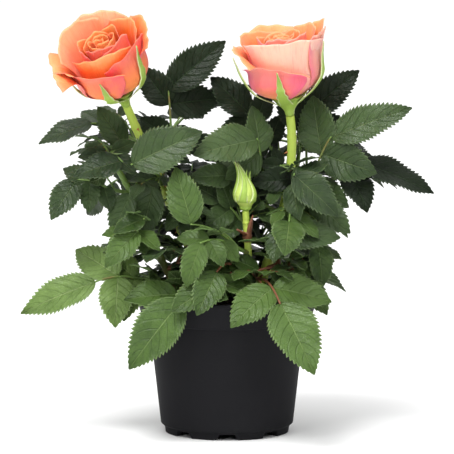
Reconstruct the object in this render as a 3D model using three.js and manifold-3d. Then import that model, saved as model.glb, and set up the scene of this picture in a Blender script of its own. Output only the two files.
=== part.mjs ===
// A miniature rose in its nursery pot: seven canes in a filled pot, two open
// blooms and a bud on three of them, and compound leaves in masses, each mass on
// its own side shoot. Millimetres, +Z up, -Y is the front. The origin is on the
// ground under the centre of the pot.
import * as THREE from "three";
import { mergeVertices } from "three/addons/utils/BufferGeometryUtils.js";
import Module from "manifold-3d";

const wasm = await Module();
wasm.setup();

// ---------------------------------------------------------------- driving sizes
const gap = 0.3; // between pieces that touch
const tidied = 0.05; // how far joining may move a face to save slivers

const pot = {
  height: 92,
  rimRadius: 60,
  collarHeight: 17,
  collarFoot: 55.2, // outer radius at the collar's lower edge
  shoulder: 51, // outer radius of the body under the collar
  bodyFoot: 43, // outer radius at the bottom of the body
  footRadius: 41, // outer radius of the standing ring
  footHeight: 4.4,
  footWidth: 5,
  wall: 1.6,
  lip: 2.6,
  lipHeight: 2.4,
  notches: 8,
  notchWidth: 10,
  edge: 0.6, // how far its corners are eased
  undercut: 1.4, // from the standing ring up to the body
  sides: 36,
};
const soil = {
  top: 80,
  level: 36, // radius of its flat middle
  fall: 1, // how much lower it lies at the wall
  slope: 6, // over this much of the radius
  clear: 0.42, // from the wall, whose facets are narrower than its own
  sides: 24,
};

const shoot = { foot: 1.6, end: 1.3, sides: 4 };
const stalk = { foot: 1.15, end: 0.85, sides: 3, steps: 2, arch: 0.1, sunk: 0.9, last: 0.05 };
const leafShape = {
  halfWidth: 0.29, // of the length
  widthScale: 2.557, // makes the widest place of the outline 1
  basePower: 0.55,
  tipPower: 0.85,
  thick: 0.9,
  thickShare: 0.024, // or this share of the length
  stations: [0, 0.24, 0.62, 1],
  plainStations: [0, 0.39, 1], // of a leaflet of the sprays, with eight faces
  fold: 0.2, // rise of each half from the midrib, per width
  bend: 0.13, // fall of the tip, per length
};
// The one or two pairs of leaflets below the end one, nearest first.
const pair = {
  back: [0.3, 0.78], // how far below the end leaflet, per its length
  most: [0.5, 0.82], // and at most, per length of stalk
  length: [0.68, 0.58],
  spread: [62, 72],
  spreadSway: 14,
  lengthSway: 0.16,
  opposed: 0.8, // when stalk and blade part so far, the pairs follow the blade
};
// A leaflet that would touch something is bent aside: [down, round] in degrees.
const bends = [
  [0, 0], [14, 0], [-14, 0], [0, 15], [0, -15], [27, 0], [-27, 0],
  [16, 16], [16, -16], [-16, 16], [-16, -16], [30, 24], [30, -24], [-30, 24], [-30, -24],
];
const clearance = 0.35; // kept round a leaflet
const crownBack = 94; // how far back the leaflets may reach
const touching = 1e-6; // mm3 at which two solids count as touching
const shared = 0.1; // mm3 a leaflet may share with others of its own mass

const colour = {
  pot: 0x1c1c1d,
  soil: 0x2a1a10,
  cane: 0x7d9a2e,
  leaf: 0x3c5a2c,
  petal: 0xf5794f,
  calyx: 0x9dbd3a,
};

// ------------------------------------------------------------------ small tools
const degrees = Math.PI / 180;
const up = new THREE.Vector3(0, 0, 1);
const nudge = 0.01; // along a curve or a surface, to find which way it runs

/** Unit vector at a bearing (0 is +X, 90 is +Y) and a rise above level. */
function heading(bearing, rise) {
  const level = Math.cos(rise * degrees);
  return new THREE.Vector3(
    level * Math.cos(bearing * degrees),
    level * Math.sin(bearing * degrees),
    Math.sin(rise * degrees),
  );
}

/** A repeatable random number source, from 0 to 1. */
function seeded(seed) {
  let state = seed >>> 0;
  return () => {
    state = (state * 1664525 + 1013904223) % 4294967296;
    return state / 4294967296;
  };
}

/** The rings of a closed tube or blade, joined and capped, as a geometry. */
function skin(rings) {
  const positions = rings.flat().flatMap((p) => [p.x, p.y, p.z]);
  const around = rings[0].length;
  const index = [];
  for (let i = 0; i + 1 < rings.length; i++) {
    for (let j = 0; j < around; j++) {
      const a = i * around + j;
      const b = i * around + ((j + 1) % around);
      index.push(a, b, b + around, a, b + around, a + around);
    }
  }
  const last = (rings.length - 1) * around;
  for (let j = 1; j + 1 < around; j++) {
    index.push(0, j + 1, j);
    index.push(last, last + j, last + j + 1);
  }
  const geometry = new THREE.BufferGeometry();
  geometry.setAttribute("position", new THREE.Float32BufferAttribute(positions, 3));
  geometry.setIndex(index);
  return geometry;
}

/** A manifold-3d solid of a closed geometry, its coincident corners made one. */
function solidOf(geometry) {
  const bare = geometry.clone();
  bare.deleteAttribute("normal");
  bare.deleteAttribute("uv");
  const merged = mergeVertices(bare, 1e-4);
  const corners = merged.index.array;
  const triangles = [];
  for (let i = 0; i < corners.length; i += 3) {
    const [a, b, c] = corners.slice(i, i + 3);
    if (a !== b && b !== c && c !== a) triangles.push(a, b, c);
  }
  return manifoldOf(merged.attributes.position.array, triangles);
}

function manifoldOf(positions, triangles) {
  const solid = new wasm.Manifold(
    new wasm.Mesh({
      numProp: 3,
      vertProperties: new Float32Array(positions),
      triVerts: new Uint32Array(triangles),
    }),
  );
  if (solid.volume() < 0) throw new Error("a solid is inside out");
  return solid;
}

function geometryOf(solid) {
  const mesh = solid.getMesh();
  const geometry = new THREE.BufferGeometry();
  const positions = new THREE.BufferAttribute(mesh.vertProperties, 3);
  geometry.setAttribute("position", positions);
  geometry.setIndex(new THREE.BufferAttribute(mesh.triVerts, 1));
  return geometry;
}

const joined = (solids) => solids.reduce((all, one) => all.add(one));

/** The volume that two solids share. */
function sharedVolume(a, b) {
  const one = a.boundingBox();
  const other = b.boundingBox();
  const meet = [0, 1, 2].every((k) => one.min[k] <= other.max[k] && other.min[k] <= one.max[k]);
  return meet ? a.intersect(b).volume() : 0;
}

const meets = (solid, others) => others.some((other) => sharedVolume(solid, other) > touching);

/** A named mesh with its own material. */
function part(name, geometry, hex, roughness = 0.6) {
  const material = new THREE.MeshStandardMaterial({ color: hex, roughness, metalness: 0 });
  const mesh = new THREE.Mesh(geometry, material);
  mesh.name = name;
  return mesh;
}

/** A tapering limb with flat ends along a curve from 0 to 1. */
function limb(pointAt, radiusAt, sides, steps) {
  const rings = [];
  for (let i = 0; i <= steps; i++) {
    const t = i / steps;
    const at = pointAt(t);
    const ahead = pointAt(Math.min(1, t + nudge)).sub(pointAt(Math.max(0, t - nudge)));
    const along = ahead.normalize();
    const level = i === 0 && pointAt.flatFoot ? up : along;
    const side = new THREE.Vector3(0, 1, 0).cross(level).normalize();
    const over = level.clone().cross(side);
    const ring = [];
    for (let j = 0; j < sides; j++) {
      const turn = (2 * Math.PI * j) / sides;
      const out = side.clone().multiplyScalar(Math.cos(turn));
      out.addScaledVector(over, Math.sin(turn));
      ring.push(at.clone().addScaledVector(out, radiusAt(t)));
    }
    rings.push(ring);
  }
  return skin(rings);
}

// -------------------------------------------------------------------------- pot
const collarZ = pot.height - pot.collarHeight; // the collar's lower edge
const shelf = collarZ + pot.wall; // where the inside widens to the collar's
const collarSlope = (pot.rimRadius - pot.collarFoot) / pot.collarHeight;

function potMesh() {
  const p = pot;
  const inner = (radius) => radius - p.wall;
  const floor = p.footHeight + p.wall;
  const profile = [
    [0, p.footHeight],
    [p.footRadius - p.footWidth, p.footHeight],
    [p.footRadius - p.footWidth, 0],
    [p.footRadius - p.edge, 0],
    [p.footRadius, p.footHeight],
    [p.bodyFoot, p.footHeight + p.undercut],
    [p.shoulder, collarZ - p.edge],
    [p.collarFoot, collarZ],
    [p.rimRadius - p.edge, p.height - p.lipHeight],
    [p.rimRadius, p.height - p.lipHeight],
    [p.rimRadius, p.height - p.edge],
    [p.rimRadius - p.edge, p.height],
    [p.rimRadius - p.lip, p.height],
    [p.rimRadius - p.lip, p.height - p.lipHeight],
    [inner(p.collarFoot), shelf],
    [inner(p.shoulder), shelf - p.edge],
    [inner(p.bodyFoot), floor],
    [0, floor],
  ].map(([r, z]) => new THREE.Vector2(r, z));
  const lathe = new THREE.LatheGeometry(profile, p.sides);
  lathe.rotateX(90 * degrees);
  lathe.rotateZ((180 / p.sides) * degrees);
  let body = solidOf(lathe);
  for (let i = 0; i < p.notches; i++) {
    const cut = new THREE.BoxGeometry(3 * p.footWidth, p.notchWidth, 2 * p.footHeight);
    cut.translate(p.footRadius - p.footWidth / 2, 0, -p.edge);
    cut.rotateZ(((i * 360) / p.notches - 90) * degrees);
    body = body.subtract(solidOf(cut));
  }
  return part("pot", geometryOf(body), colour.pot, 0.45);
}

function soilMesh() {
  const floor = pot.footHeight + pot.wall + gap;
  const inside = pot.wall + soil.clear;
  const wallZ = soil.top - soil.fall;
  const wallRadius = pot.collarFoot - inside + (wallZ - shelf - gap) * collarSlope;
  const profile = [
    [0, floor],
    [pot.bodyFoot - inside, floor],
    [pot.shoulder - inside, shelf - pot.edge + gap],
    [pot.collarFoot - inside, shelf + gap],
    [wallRadius, wallZ],
    [wallRadius - soil.slope, soil.top],
    [soil.level, soil.top],
    [0, soil.top],
  ].map(([r, z]) => new THREE.Vector2(r, z));
  const lathe = new THREE.LatheGeometry(profile, soil.sides);
  lathe.rotateX(90 * degrees);
  const solid = solidOf(lathe);
  return part("soil", geometryOf(solid), colour.soil, 0.95);
}

// ------------------------------------------------------------------------ canes
// foot is where it leaves the soil, head where it ends; leave and arrive are the
// bearing and rise it has there, and thick its radius at both.
const canes = {
  left: {
    foot: [-10, 4],
    head: [-65, -8, 214.5],
    leave: [175, 72],
    arrive: [229, 60],
    thick: [3.4, 2.8],
  },
  right: {
    foot: [16, 2],
    head: [41, 0, 207],
    leave: [0, 70],
    arrive: [206, 82],
    thick: [3.6, 2.9],
  },
  bud: {
    foot: [14, -15],
    head: [12, -22, 148],
    leave: [320, 86],
    arrive: [180, 86],
    thick: [3, 2.5],
  },
  low_left: {
    foot: [-22, -6],
    head: [-72, -14, 176],
    leave: [190, 50],
    arrive: [190, 58],
    thick: [2.8, 1.9],
  },
  low_right: {
    foot: [28, -4],
    head: [64, 2, 163],
    leave: [5, 52],
    arrive: [355, 45],
    thick: [2.6, 1.8],
  },
  back_left: {
    foot: [-10, 24],
    head: [-36, 46, 178],
    leave: [120, 70],
    arrive: [130, 75],
    thick: [2.9, 1.9],
  },
  back_right: {
    foot: [16, 24],
    head: [46, 44, 170],
    leave: [60, 68],
    arrive: [50, 70],
    thick: [2.9, 1.9],
  },
};
const caneSides = 7;
const caneSteps = 7;
const flare = { reach: 7, extra: 0.9 }; // a cane's foot widens over this height

/** The middle line of a cane, from 0 at the soil to 1 at its head. */
function caneLine(cane) {
  const foot = new THREE.Vector3(...cane.foot, soil.top + gap);
  const head = new THREE.Vector3(...cane.head);
  const third = foot.distanceTo(head) / 3;
  const rising = foot.clone().addScaledVector(heading(...cane.leave), third);
  const nearing = head.clone().addScaledVector(heading(...cane.arrive), -third);
  const curve = new THREE.CubicBezierCurve3(foot, rising, nearing, head);
  const line = (t) => curve.getPoint(t);
  line.flatFoot = true;
  return line;
}

function caneRadius(cane, t) {
  const [foot, head] = cane.thick;
  const height = t * (cane.head[2] - soil.top);
  const spread = flare.extra * Math.max(0, 1 - height / flare.reach) ** 2;
  return THREE.MathUtils.lerp(foot, head, t) + spread;
}

function caneMesh(name, cane) {
  const line = caneLine(cane);
  const geometry = limb(line, (t) => caneRadius(cane, t), caneSides, caneSteps);
  return part("cane_" + name, geometry, colour.cane);
}

// ----------------------------------------------------------------------- blooms
// Each petal stands at an angle about the bloom's axis. belly is how far out it
// swells, tall its height, half its half-width in degrees, lean how far its upper
// part moves out, and roll and drop how far its rim turns out and down.
const bloomShape = {
  thick: 1,
  start: 0.04,
  swell: 0.55,
  swellPower: 2.4,
  rise: 1.12,
  rimFrom: 0.66,
  round: 0.14, // how much lower a petal's corners are than its middle
  roundPower: 2.6,
  corner: 0.5, // how much more the corners of a rim roll than its middle
  cornerPower: 3,
  clawWidth: 0.5, // share of its width at its foot
  clawEnd: 0.55, // where it has its whole width
  lowest: 0.02,
  grid: [4, 4], // steps across and along
  tuck: 0.9, // one edge of a petal lies over its neighbour
  goldenTurn: 137.5,
};
const heart = {
  petals: 5,
  belly: [3.4, 15.5],
  tall: [36, 42],
  half: [100, 66],
  grid: [4, 2],
};
const core = { radius: 7, foot: 5.6, height: 9, sides: 12 };

const blooms = {
  left: {
    petals: [
      { at: 264, belly: 21, tall: 43, half: 62, lean: 0, roll: 2, drop: 1 },
      { at: 28, belly: 20.5, tall: 46, half: 58, lean: 2, roll: 3, drop: 1 },
      { at: 146, belly: 21, tall: 48, half: 60, lean: 3, roll: 2, drop: 0 },
      { at: 238, belly: 24, tall: 37, half: 50, lean: 2, roll: 10, drop: 8 },
      { at: 312, belly: 24, tall: 41, half: 46, lean: 0, roll: 3, drop: 2 },
      { at: 10, belly: 24, tall: 46, half: 44, lean: 3, roll: 6, drop: 3 },
      { at: 90, belly: 24, tall: 48, half: 50, lean: 2, roll: 4, drop: 2 },
      { at: 188, belly: 24.5, tall: 43, half: 34, lean: 4, roll: 8, drop: 5 },
    ],
    sepals: [[322, 40], [34, 26], [106, 30], [186, 20], [256, 27]],
  },
  right: {
    petals: [
      { at: 283, belly: 21.5, tall: 43, half: 62, lean: 3, roll: 2, drop: 2 },
      { at: 35, belly: 20.5, tall: 46, half: 58, lean: 1, roll: 3, drop: 1 },
      { at: 150, belly: 21, tall: 46, half: 60, lean: 1, roll: 3, drop: 1 },
      { at: 246, belly: 24, tall: 30, half: 48, lean: 0, roll: 5, drop: 6 },
      { at: 326, belly: 24, tall: 47, half: 42, lean: 2, roll: 3, drop: 1 },
      { at: 18, belly: 24, tall: 50, half: 42, lean: 3, roll: 4, drop: 0 },
      { at: 100, belly: 24, tall: 47, half: 50, lean: 1, roll: 5, drop: 3 },
      { at: 190, belly: 24, tall: 42, half: 44, lean: 2, roll: 6, drop: 5 },
    ],
    sepals: [[262, 25], [338, 38], [44, 30], [122, 24], [196, 34]],
  },
};

/** A petal's middle surface: u from -1 to 1 across it, v from 0 to 1 up it. */
function petalPoint(petal, u, v) {
  const b = bloomShape;
  const s = Math.max(b.lowest, v * (1 - b.round * Math.abs(u) ** b.roundPower));
  const open = 1 - Math.max(0, 1 - s / b.swell) ** b.swellPower;
  const upper = Math.max(0, s - b.swell) / (1 - b.swell);
  const rim = Math.max(0, (s - b.rimFrom) / (1 - b.rimFrom)) ** 2;
  const curl = rim * (1 + b.corner * Math.abs(u) ** b.cornerPower);
  const radius = petal.belly * open + petal.lean * upper + petal.roll * curl + b.tuck * u;
  const height = petal.tall * s ** b.rise - petal.drop * curl;
  const narrow = THREE.MathUtils.lerp(b.clawWidth, 1, Math.min(1, s / b.clawEnd));
  const angle = (petal.at + u * petal.half * narrow) * degrees;
  return new THREE.Vector3(radius * Math.cos(angle), radius * Math.sin(angle), height);
}

/** A petal as a thin closed shell, its two faces set off along its normal. */
function petalSolid(petal) {
  const b = bloomShape;
  const [across, along] = petal.grid ?? b.grid;
  const faces = [-1, 1].map((sign) => {
    const rows = [];
    for (let i = 0; i <= along; i++) {
      const v = b.start + ((1 - b.start) * i) / along;
      const row = [];
      for (let j = 0; j <= across; j++) {
        const u = -1 + (2 * j) / across;
        const at = petalPoint(petal, u, v);
        const over = petalPoint(petal, u + nudge, v).sub(petalPoint(petal, u - nudge, v));
        const rising = petalPoint(petal, u, v + nudge).sub(petalPoint(petal, u, v - nudge));
        const out = over.cross(rising).normalize();
        row.push(at.addScaledVector(out, (sign * b.thick) / 2));
      }
      rows.push(row);
    }
    return rows;
  });
  // Each ring runs out along one face and back along the other.
  const rings = faces[1].map((row, i) => [...row, ...faces[0][i].slice().reverse()]);
  return solidOf(skinOfStrips(rings));
}

/** Like skin, for rings that are flat strips: their ends are capped in quads. */
function skinOfStrips(rings) {
  const geometry = skin(rings);
  const around = rings[0].length;
  const half = around / 2;
  const sides = (rings.length - 1) * around * 6;
  const index = [...geometry.index.array.slice(0, sides)];
  const last = (rings.length - 1) * around;
  for (let j = 0; j + 1 < half; j++) {
    const k = around - 1 - j;
    index.push(j, k, j + 1, j + 1, k, k - 1);
    index.push(last + j, last + j + 1, last + k, last + j + 1, last + k - 1, last + k);
  }
  geometry.setIndex(index);
  return geometry;
}

function heartPetals() {
  const petals = [];
  for (let k = 0; k < heart.petals; k++) {
    const share = k / (heart.petals - 1);
    const blend = ([inner, outer]) => THREE.MathUtils.lerp(inner, outer, share);
    petals.push({
      at: 20 + k * bloomShape.goldenTurn,
      belly: blend(heart.belly),
      tall: blend(heart.tall),
      half: blend(heart.half),
      lean: -1,
      roll: share,
      drop: 0,
      grid: heart.grid,
    });
  }
  return petals;
}

function bloomSolid(bloom) {
  const middle = new THREE.CylinderGeometry(core.radius, core.foot, core.height, core.sides);
  middle.rotateX(90 * degrees);
  middle.translate(0, 0, core.height / 2);
  const petals = [...heartPetals(), ...bloom.petals].map(petalSolid);
  return whole(joined([solidOf(middle), ...petals]).simplify(tidied));
}

const hip = {
  height: 10,
  top: 8.4,
  sides: 9,
  outline: [[0, 0.34], [0.35, 0.39], [0.62, 0.62], [0.86, 0.93], [1, 1]], // share of height, of top
};
const sepal = {
  foot: -1.6, // how far its root lies below the petals
  root: 2, // and how far inside the hip's top
  clear: 1.3,
  thick: 0.9,
  steps: 4,
  half: [4.4, 3.8, 0.5], // half-width at its root, shoulder and tip
  shoulder: 0.3, // where it starts to narrow to its tip
  hurry: 1.15, // how its steps lengthen upward
  near: 16, // degrees either side within which petals push it out
  level: 2, // and so far above or below it
  probe: { across: 0.1, along: 0.04 }, // steps over a petal when feeling for it
};

/** How far out the petals of a bloom reach near a bearing, at a height. */
function reachAt(bloom, bearing, height) {
  const toward = heading(bearing, 0);
  const { across, along } = sepal.probe;
  let widest = 0;
  for (const petal of bloom.petals) {
    for (let u = -1; u <= 1; u += across) {
      for (let v = along; v <= 1; v += along) {
        const p = petalPoint(petal, u, v);
        const aside = p.clone().setZ(0).angleTo(toward) / degrees;
        if (aside > sepal.near || Math.abs(p.z - height) > sepal.level) continue;
        widest = Math.max(widest, Math.hypot(p.x, p.y));
      }
    }
  }
  return widest;
}

/** A sepal hugging the petals from under them up to its tip. */
function sepalSolid(bloom, bearing, length) {
  const out = heading(bearing, 0);
  const over = heading(bearing + 90, 0);
  const [base, middle, tip] = sepal.half;
  const rings = [];
  for (let k = 0; k <= sepal.steps; k++) {
    const t = k / sepal.steps;
    const height = THREE.MathUtils.lerp(sepal.foot, length, t ** sepal.hurry);
    const petals = reachAt(bloom, bearing, Math.max(0, height)) + sepal.clear;
    const hug = k === 0 ? hip.top - sepal.root : Math.max(petals, hip.top);
    const widening = THREE.MathUtils.lerp(base, middle, t / sepal.shoulder);
    const beyond = (t - sepal.shoulder) / (1 - sepal.shoulder);
    const half = beyond < 0 ? widening : THREE.MathUtils.lerp(middle, tip, beyond);
    const corner = (side, outward) =>
      out.clone().multiplyScalar(hug + outward).addScaledVector(over, side * half).setZ(height);
    rings.push([corner(-1, 0), corner(-1, sepal.thick), corner(1, sepal.thick), corner(1, 0)]);
  }
  return solidOf(skin(rings));
}

/** The green cup under a bloom and its sepals, in the bloom's own frame. */
function calyxSolid(bloom) {
  const outline = hip.outline.map(([z, r]) => [r * hip.top, (z - 1) * hip.height - gap]);
  const profile = [[0, -hip.height - gap], ...outline, [0, -gap]];
  const lathe = new THREE.LatheGeometry(profile.map(([r, z]) => new THREE.Vector2(r, z)), hip.sides);
  lathe.rotateX(90 * degrees);
  const leaves = bloom.sepals.map(([bearing, length]) => sepalSolid(bloom, bearing, length));
  return whole(joined([solidOf(lathe), ...leaves]).simplify(tidied));
}

// -------------------------------------------------------------------------- bud
const budShape = {
  length: 38,
  lean: 11, // how far the tip moves aside
  toward: 180,
  sides: 10,
  steps: 12,
  // [share of the length, radius]: the hip, its neck, the swelling and the tip
  profile: [
    [0, 2.4], [0.08, 3.1], [0.14, 4.9], [0.17, 4.7], [0.22, 6.2],
    [0.32, 7.6], [0.45, 6.9], [0.62, 4.6], [0.8, 2.2], [1, 0.4],
  ],
};

function budRadius(t) {
  const profile = budShape.profile;
  const next = Math.max(1, profile.findIndex(([share]) => share >= t));
  const [[t0, r0], [t1, r1]] = [profile[next - 1], profile[next]];
  return THREE.MathUtils.lerp(r0, r1, (t - t0) / (t1 - t0));
}

function budMesh() {
  const foot = new THREE.Vector3(...canes.bud.head).add(new THREE.Vector3(0, 0, gap));
  const aside = heading(budShape.toward, 0);
  const line = (t) =>
    foot.clone().addScaledVector(up, budShape.length * t).addScaledVector(aside, budShape.lean * t * t);
  line.flatFoot = true;
  return part("bud", limb(line, budRadius, budShape.sides, budShape.steps), colour.calyx);
}

// ---------------------------------------------------------------------- foliage
// Directions are [bearing, rise, length]. A mass is one side shoot, starting at
// `up` of its cane; each leaf leaves the shoot at `along`, its stalk runs by
// `reach` to where the end leaflet starts, and `blade` is that leaflet. `faces` is
// the bearing its upper face is turned to, and by how much from level. half is its
// half-width per length, where it isn't leafShape's.
const masses = [
  { name: "right_low", cane: "bud", up: 0.34, shoot: [300, 8, 12], leaves: [
    { along: 1, reach: [289, -16, 39], blade: [306, -45, 54], faces: [275, 55], pairs: 1 },
  ] },
  { name: "left_low", cane: "low_left", up: 0.1, shoot: [235, 14, 14], leaves: [
    { along: 0.8, reach: [280, 6, 38], blade: [193, -49, 56], faces: [262, 60], pairs: 1, half: 0.26 },
    { along: 1, reach: [318, 19, 48], blade: [210, -22, 39], faces: [270, 50], pairs: 1 },
  ] },
  { name: "front", cane: "bud", up: 0.6, shoot: [235, 28, 12], leaves: [
    { along: 1, reach: [227, 10, 34], blade: [218, -64, 30], faces: [262, 62], pairs: 1 },
    { along: 0.6, reach: [207, 28, 40], blade: [143, 70, 39], faces: [265, 70], pairs: 0 },
  ] },
  { name: "left_far", cane: "low_left", up: 0.22, shoot: [190, 10, 16], leaves: [
    { along: 1, reach: [194, 0, 33], blade: [182, -19, 53], faces: [265, 50], pairs: 2, half: 0.22 },
  ] },
  { name: "left_mid", cane: "low_left", up: 0.5, shoot: [215, 12, 12], leaves: [
    { along: 0.7, reach: [270, 22, 26], blade: [211, -38, 32], faces: [262, 55], pairs: 1 },
    { along: 1, reach: [292, 42, 25], blade: [202, -24, 23], faces: [262, 50], pairs: 0 },
  ] },
  { name: "left_upper", cane: "low_left", up: 0.82, shoot: [190, 20, 12], leaves: [
    { along: 1, reach: [176, 14, 22], blade: [225, -42, 32], faces: [262, 60], pairs: 1 },
  ] },
  { name: "left_head", cane: "low_left", up: 1, shoot: [200, 60, 9], leaves: [
    { along: 1, reach: [322, -20, 12], blade: [198, -11, 33], faces: [262, 50], pairs: 0 },
    { along: 0.9, reach: [67, 8, 24], blade: [140, 44, 30], faces: [250, 50], pairs: 1 },
  ] },
  { name: "left_top", cane: "left", up: 0.8, shoot: [140, 20, 10], leaves: [
    { along: 1, reach: [183, 20, 26], blade: [190, -14, 37], faces: [250, 35], pairs: 1, half: 0.24 },
  ] },
  { name: "centre", cane: "left", up: 0.6, shoot: [265, 25, 16], leaves: [
    { along: 1, reach: [229, 22, 30], blade: [0, 27, 50], faces: [272, 66], pairs: 0 },
    { along: 0.8, reach: [250, -15, 14], blade: [240, -60, 36], faces: [270, 60], pairs: 0 },
  ] },
  { name: "centre_dark", cane: "right", up: 0.5, shoot: [215, 30, 14], leaves: [
    { along: 1, reach: [178, 35, 29], blade: [220, -66, 27], faces: [265, 65], pairs: 1 },
  ] },
  { name: "right_inner", cane: "right", up: 0.6, shoot: [200, 15, 12], leaves: [
    { along: 1, reach: [240, 74, 36], blade: [196, -14, 45], faces: [262, 60], pairs: 1 },
  ] },
  { name: "right_near", cane: "right", up: 0.74, shoot: [235, 10, 8], leaves: [
    { along: 1, reach: [330, -35, 14], blade: [188, -2, 29], faces: [268, 62], pairs: 0 },
    { along: 0.8, reach: [120, -20, 14], blade: [170, 5, 24], faces: [268, 60], pairs: 1 },
  ] },
  { name: "upper_mid", cane: "right", up: 0.72, shoot: [130, 25, 12], leaves: [
    { along: 1, reach: [165, 59, 35], blade: [171, 44, 35], faces: [262, 60], pairs: 1 },
  ] },
  { name: "right_top", cane: "right", up: 0.62, shoot: [35, 35, 14], leaves: [
    { along: 1, reach: [100, 78, 41], blade: [8, 40, 46], faces: [280, 60], pairs: 1, half: 0.23 },
  ] },
  { name: "right_shoulder", cane: "right", up: 0.55, shoot: [340, 35, 14], leaves: [
    { along: 1, reach: [354, 68, 41], blade: [351, 24, 56], faces: [285, 55], pairs: 1, half: 0.2 },
  ] },
  { name: "right_far", cane: "low_right", up: 1, shoot: [0, 25, 14], leaves: [
    { along: 1, reach: [12, 33, 12], blade: [355, -17, 52], faces: [285, 40], pairs: 0, half: 0.2 },
    { along: 0.5, reach: [70, 30, 15], blade: [20, 10, 24], faces: [285, 50], pairs: 1 },
  ] },
  { name: "right_mid", cane: "right", up: 0.42, shoot: [290, 12, 14], leaves: [
    { along: 1, reach: [282, 62, 44], blade: [341, -38, 39], faces: [275, 60], pairs: 1 },
    { along: 0.6, reach: [266, 2, 30], blade: [356, 0, 38], faces: [275, 57], pairs: 1 },
  ] },
  { name: "right_low_back", cane: "low_right", up: 0.4, shoot: [330, 10, 12], leaves: [
    { along: 1, reach: [286, 37, 18], blade: [291, -67, 28], faces: [290, 60], pairs: 1 },
  ] },
  { name: "top_mid", cane: "left", up: 0.66, shoot: [30, 40, 12], leaves: [
    { along: 1, reach: [108, 79, 44], blade: [10, 41, 49], faces: [275, 60], pairs: 1, half: 0.24 },
  ] },
];

// The rest of the crown follows a rule: leaves fanned out about the side shoot.
const sprays = [
  { name: "front_left", cane: "left", up: 0.2, shoot: [255, 25, 12],
    leaves: 2, fan: 60, rise: [15, 50], pairs: 1 },
  { name: "front_right", cane: "right", up: 0.22, shoot: [305, 25, 12],
    leaves: 2, fan: 60, rise: [20, 55], pairs: 1 },
  { name: "fill_left", cane: "left", up: 0.46, shoot: [250, 30, 10],
    leaves: 2, fan: 140, rise: [-10, 40], look: 268, pairs: 1 },
  { name: "fill_mid", cane: "bud", up: 0.8, shoot: [110, 35, 10],
    leaves: 2, fan: 160, rise: [10, 50], look: 270, pairs: 1 },
  { name: "fill_right", cane: "right", up: 0.62, shoot: [250, 30, 10],
    leaves: 2, fan: 140, rise: [-20, 30], look: 272, pairs: 1 },
  { name: "fill_low", cane: "low_left", up: 0.3, shoot: [330, 30, 10],
    leaves: 2, fan: 120, rise: [10, 50], look: 268, pairs: 1 },
  { name: "between", cane: "right", up: 0.44, shoot: [150, 30, 12],
    leaves: 2, fan: 90, rise: [15, 50], pairs: 1 },
  { name: "back_low_left", cane: "back_left", up: 0.12, shoot: [140, 15, 14],
    leaves: 3, fan: 110, rise: [-5, 30], pairs: 1 },
  { name: "back_low_right", cane: "back_right", up: 0.12, shoot: [80, 15, 14],
    leaves: 3, fan: 90, rise: [5, 35], pairs: 1 },
  { name: "back_left_mid", cane: "back_left", up: 0.45, shoot: [125, 20, 14],
    leaves: 2, fan: 80, rise: [5, 40], pairs: 2 },
  { name: "back_right_mid", cane: "back_right", up: 0.5, shoot: [68, 20, 14],
    leaves: 2, fan: 80, rise: [5, 40], pairs: 2 },
  { name: "back_left_top", cane: "back_left", up: 1, shoot: [120, 75, 10],
    leaves: 3, fan: 220, rise: [0, 45], pairs: 1 },
  { name: "back_right_top", cane: "back_right", up: 1, shoot: [60, 72, 10],
    leaves: 3, fan: 220, rise: [0, 45], pairs: 1 },
  { name: "side_left", cane: "low_left", up: 0.35, shoot: [118, 15, 12],
    leaves: 2, fan: 70, rise: [10, 40], pairs: 2 },
  { name: "side_right", cane: "low_right", up: 0.25, shoot: [88, 15, 12],
    leaves: 2, fan: 60, rise: [10, 35], pairs: 2 },
  { name: "inner_left", cane: "left", up: 0.4, shoot: [75, 35, 12],
    leaves: 2, fan: 140, rise: [25, 60], pairs: 1 },
  { name: "inner_right", cane: "right", up: 0.3, shoot: [120, 30, 12],
    leaves: 2, fan: 140, rise: [20, 55], pairs: 1 },
  { name: "low_mid", cane: "bud", up: 0.42, shoot: [200, 25, 12],
    leaves: 2, fan: 120, rise: [0, 40], look: 268, pairs: 2 },
  { name: "left_between", cane: "left", up: 0.62, shoot: [190, 15, 10],
    leaves: 2, fan: 120, rise: [-20, 30], look: 262, pairs: 1 },
  { name: "low_centre", cane: "left", up: 0.36, shoot: [312, 20, 14],
    leaves: 2, fan: 100, rise: [-5, 40], look: 268, pairs: 2 },
  { name: "right_between", cane: "right", up: 0.52, shoot: [290, 12, 12],
    leaves: 2, fan: 56, rise: [-20, 35], look: 275, pairs: 1 },
  { name: "right_under", cane: "low_right", up: 0.3, shoot: [262, 20, 10],
    leaves: 2, fan: 80, rise: [-10, 30], look: 278, pairs: 1 },
  { name: "upper_centre", cane: "right", up: 0.66, shoot: [180, 20, 14],
    leaves: 2, fan: 120, rise: [-20, 35], look: 268, pairs: 2 },
  { name: "back_mid_left", cane: "back_left", up: 0.72, shoot: [60, 20, 14],
    leaves: 3, fan: 140, rise: [0, 40], pairs: 1 },
  { name: "back_mid_right", cane: "back_right", up: 0.75, shoot: [122, 20, 14],
    leaves: 3, fan: 140, rise: [0, 40], pairs: 1 },
  { name: "back_low", cane: "back_left", up: 0.28, shoot: [80, 20, 14],
    leaves: 3, fan: 110, rise: [-5, 35], pairs: 1 },
];
const sprayed = {
  reach: [20, 36],
  blade: [28, 38],
  sway: 24, // of a leaf's bearing from its even place
  droop: [10, 40], // of the end leaflet below its stalk
  tilt: [30, 64],
  low: 0.6, // where every second leaf leaves the shoot
};

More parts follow.
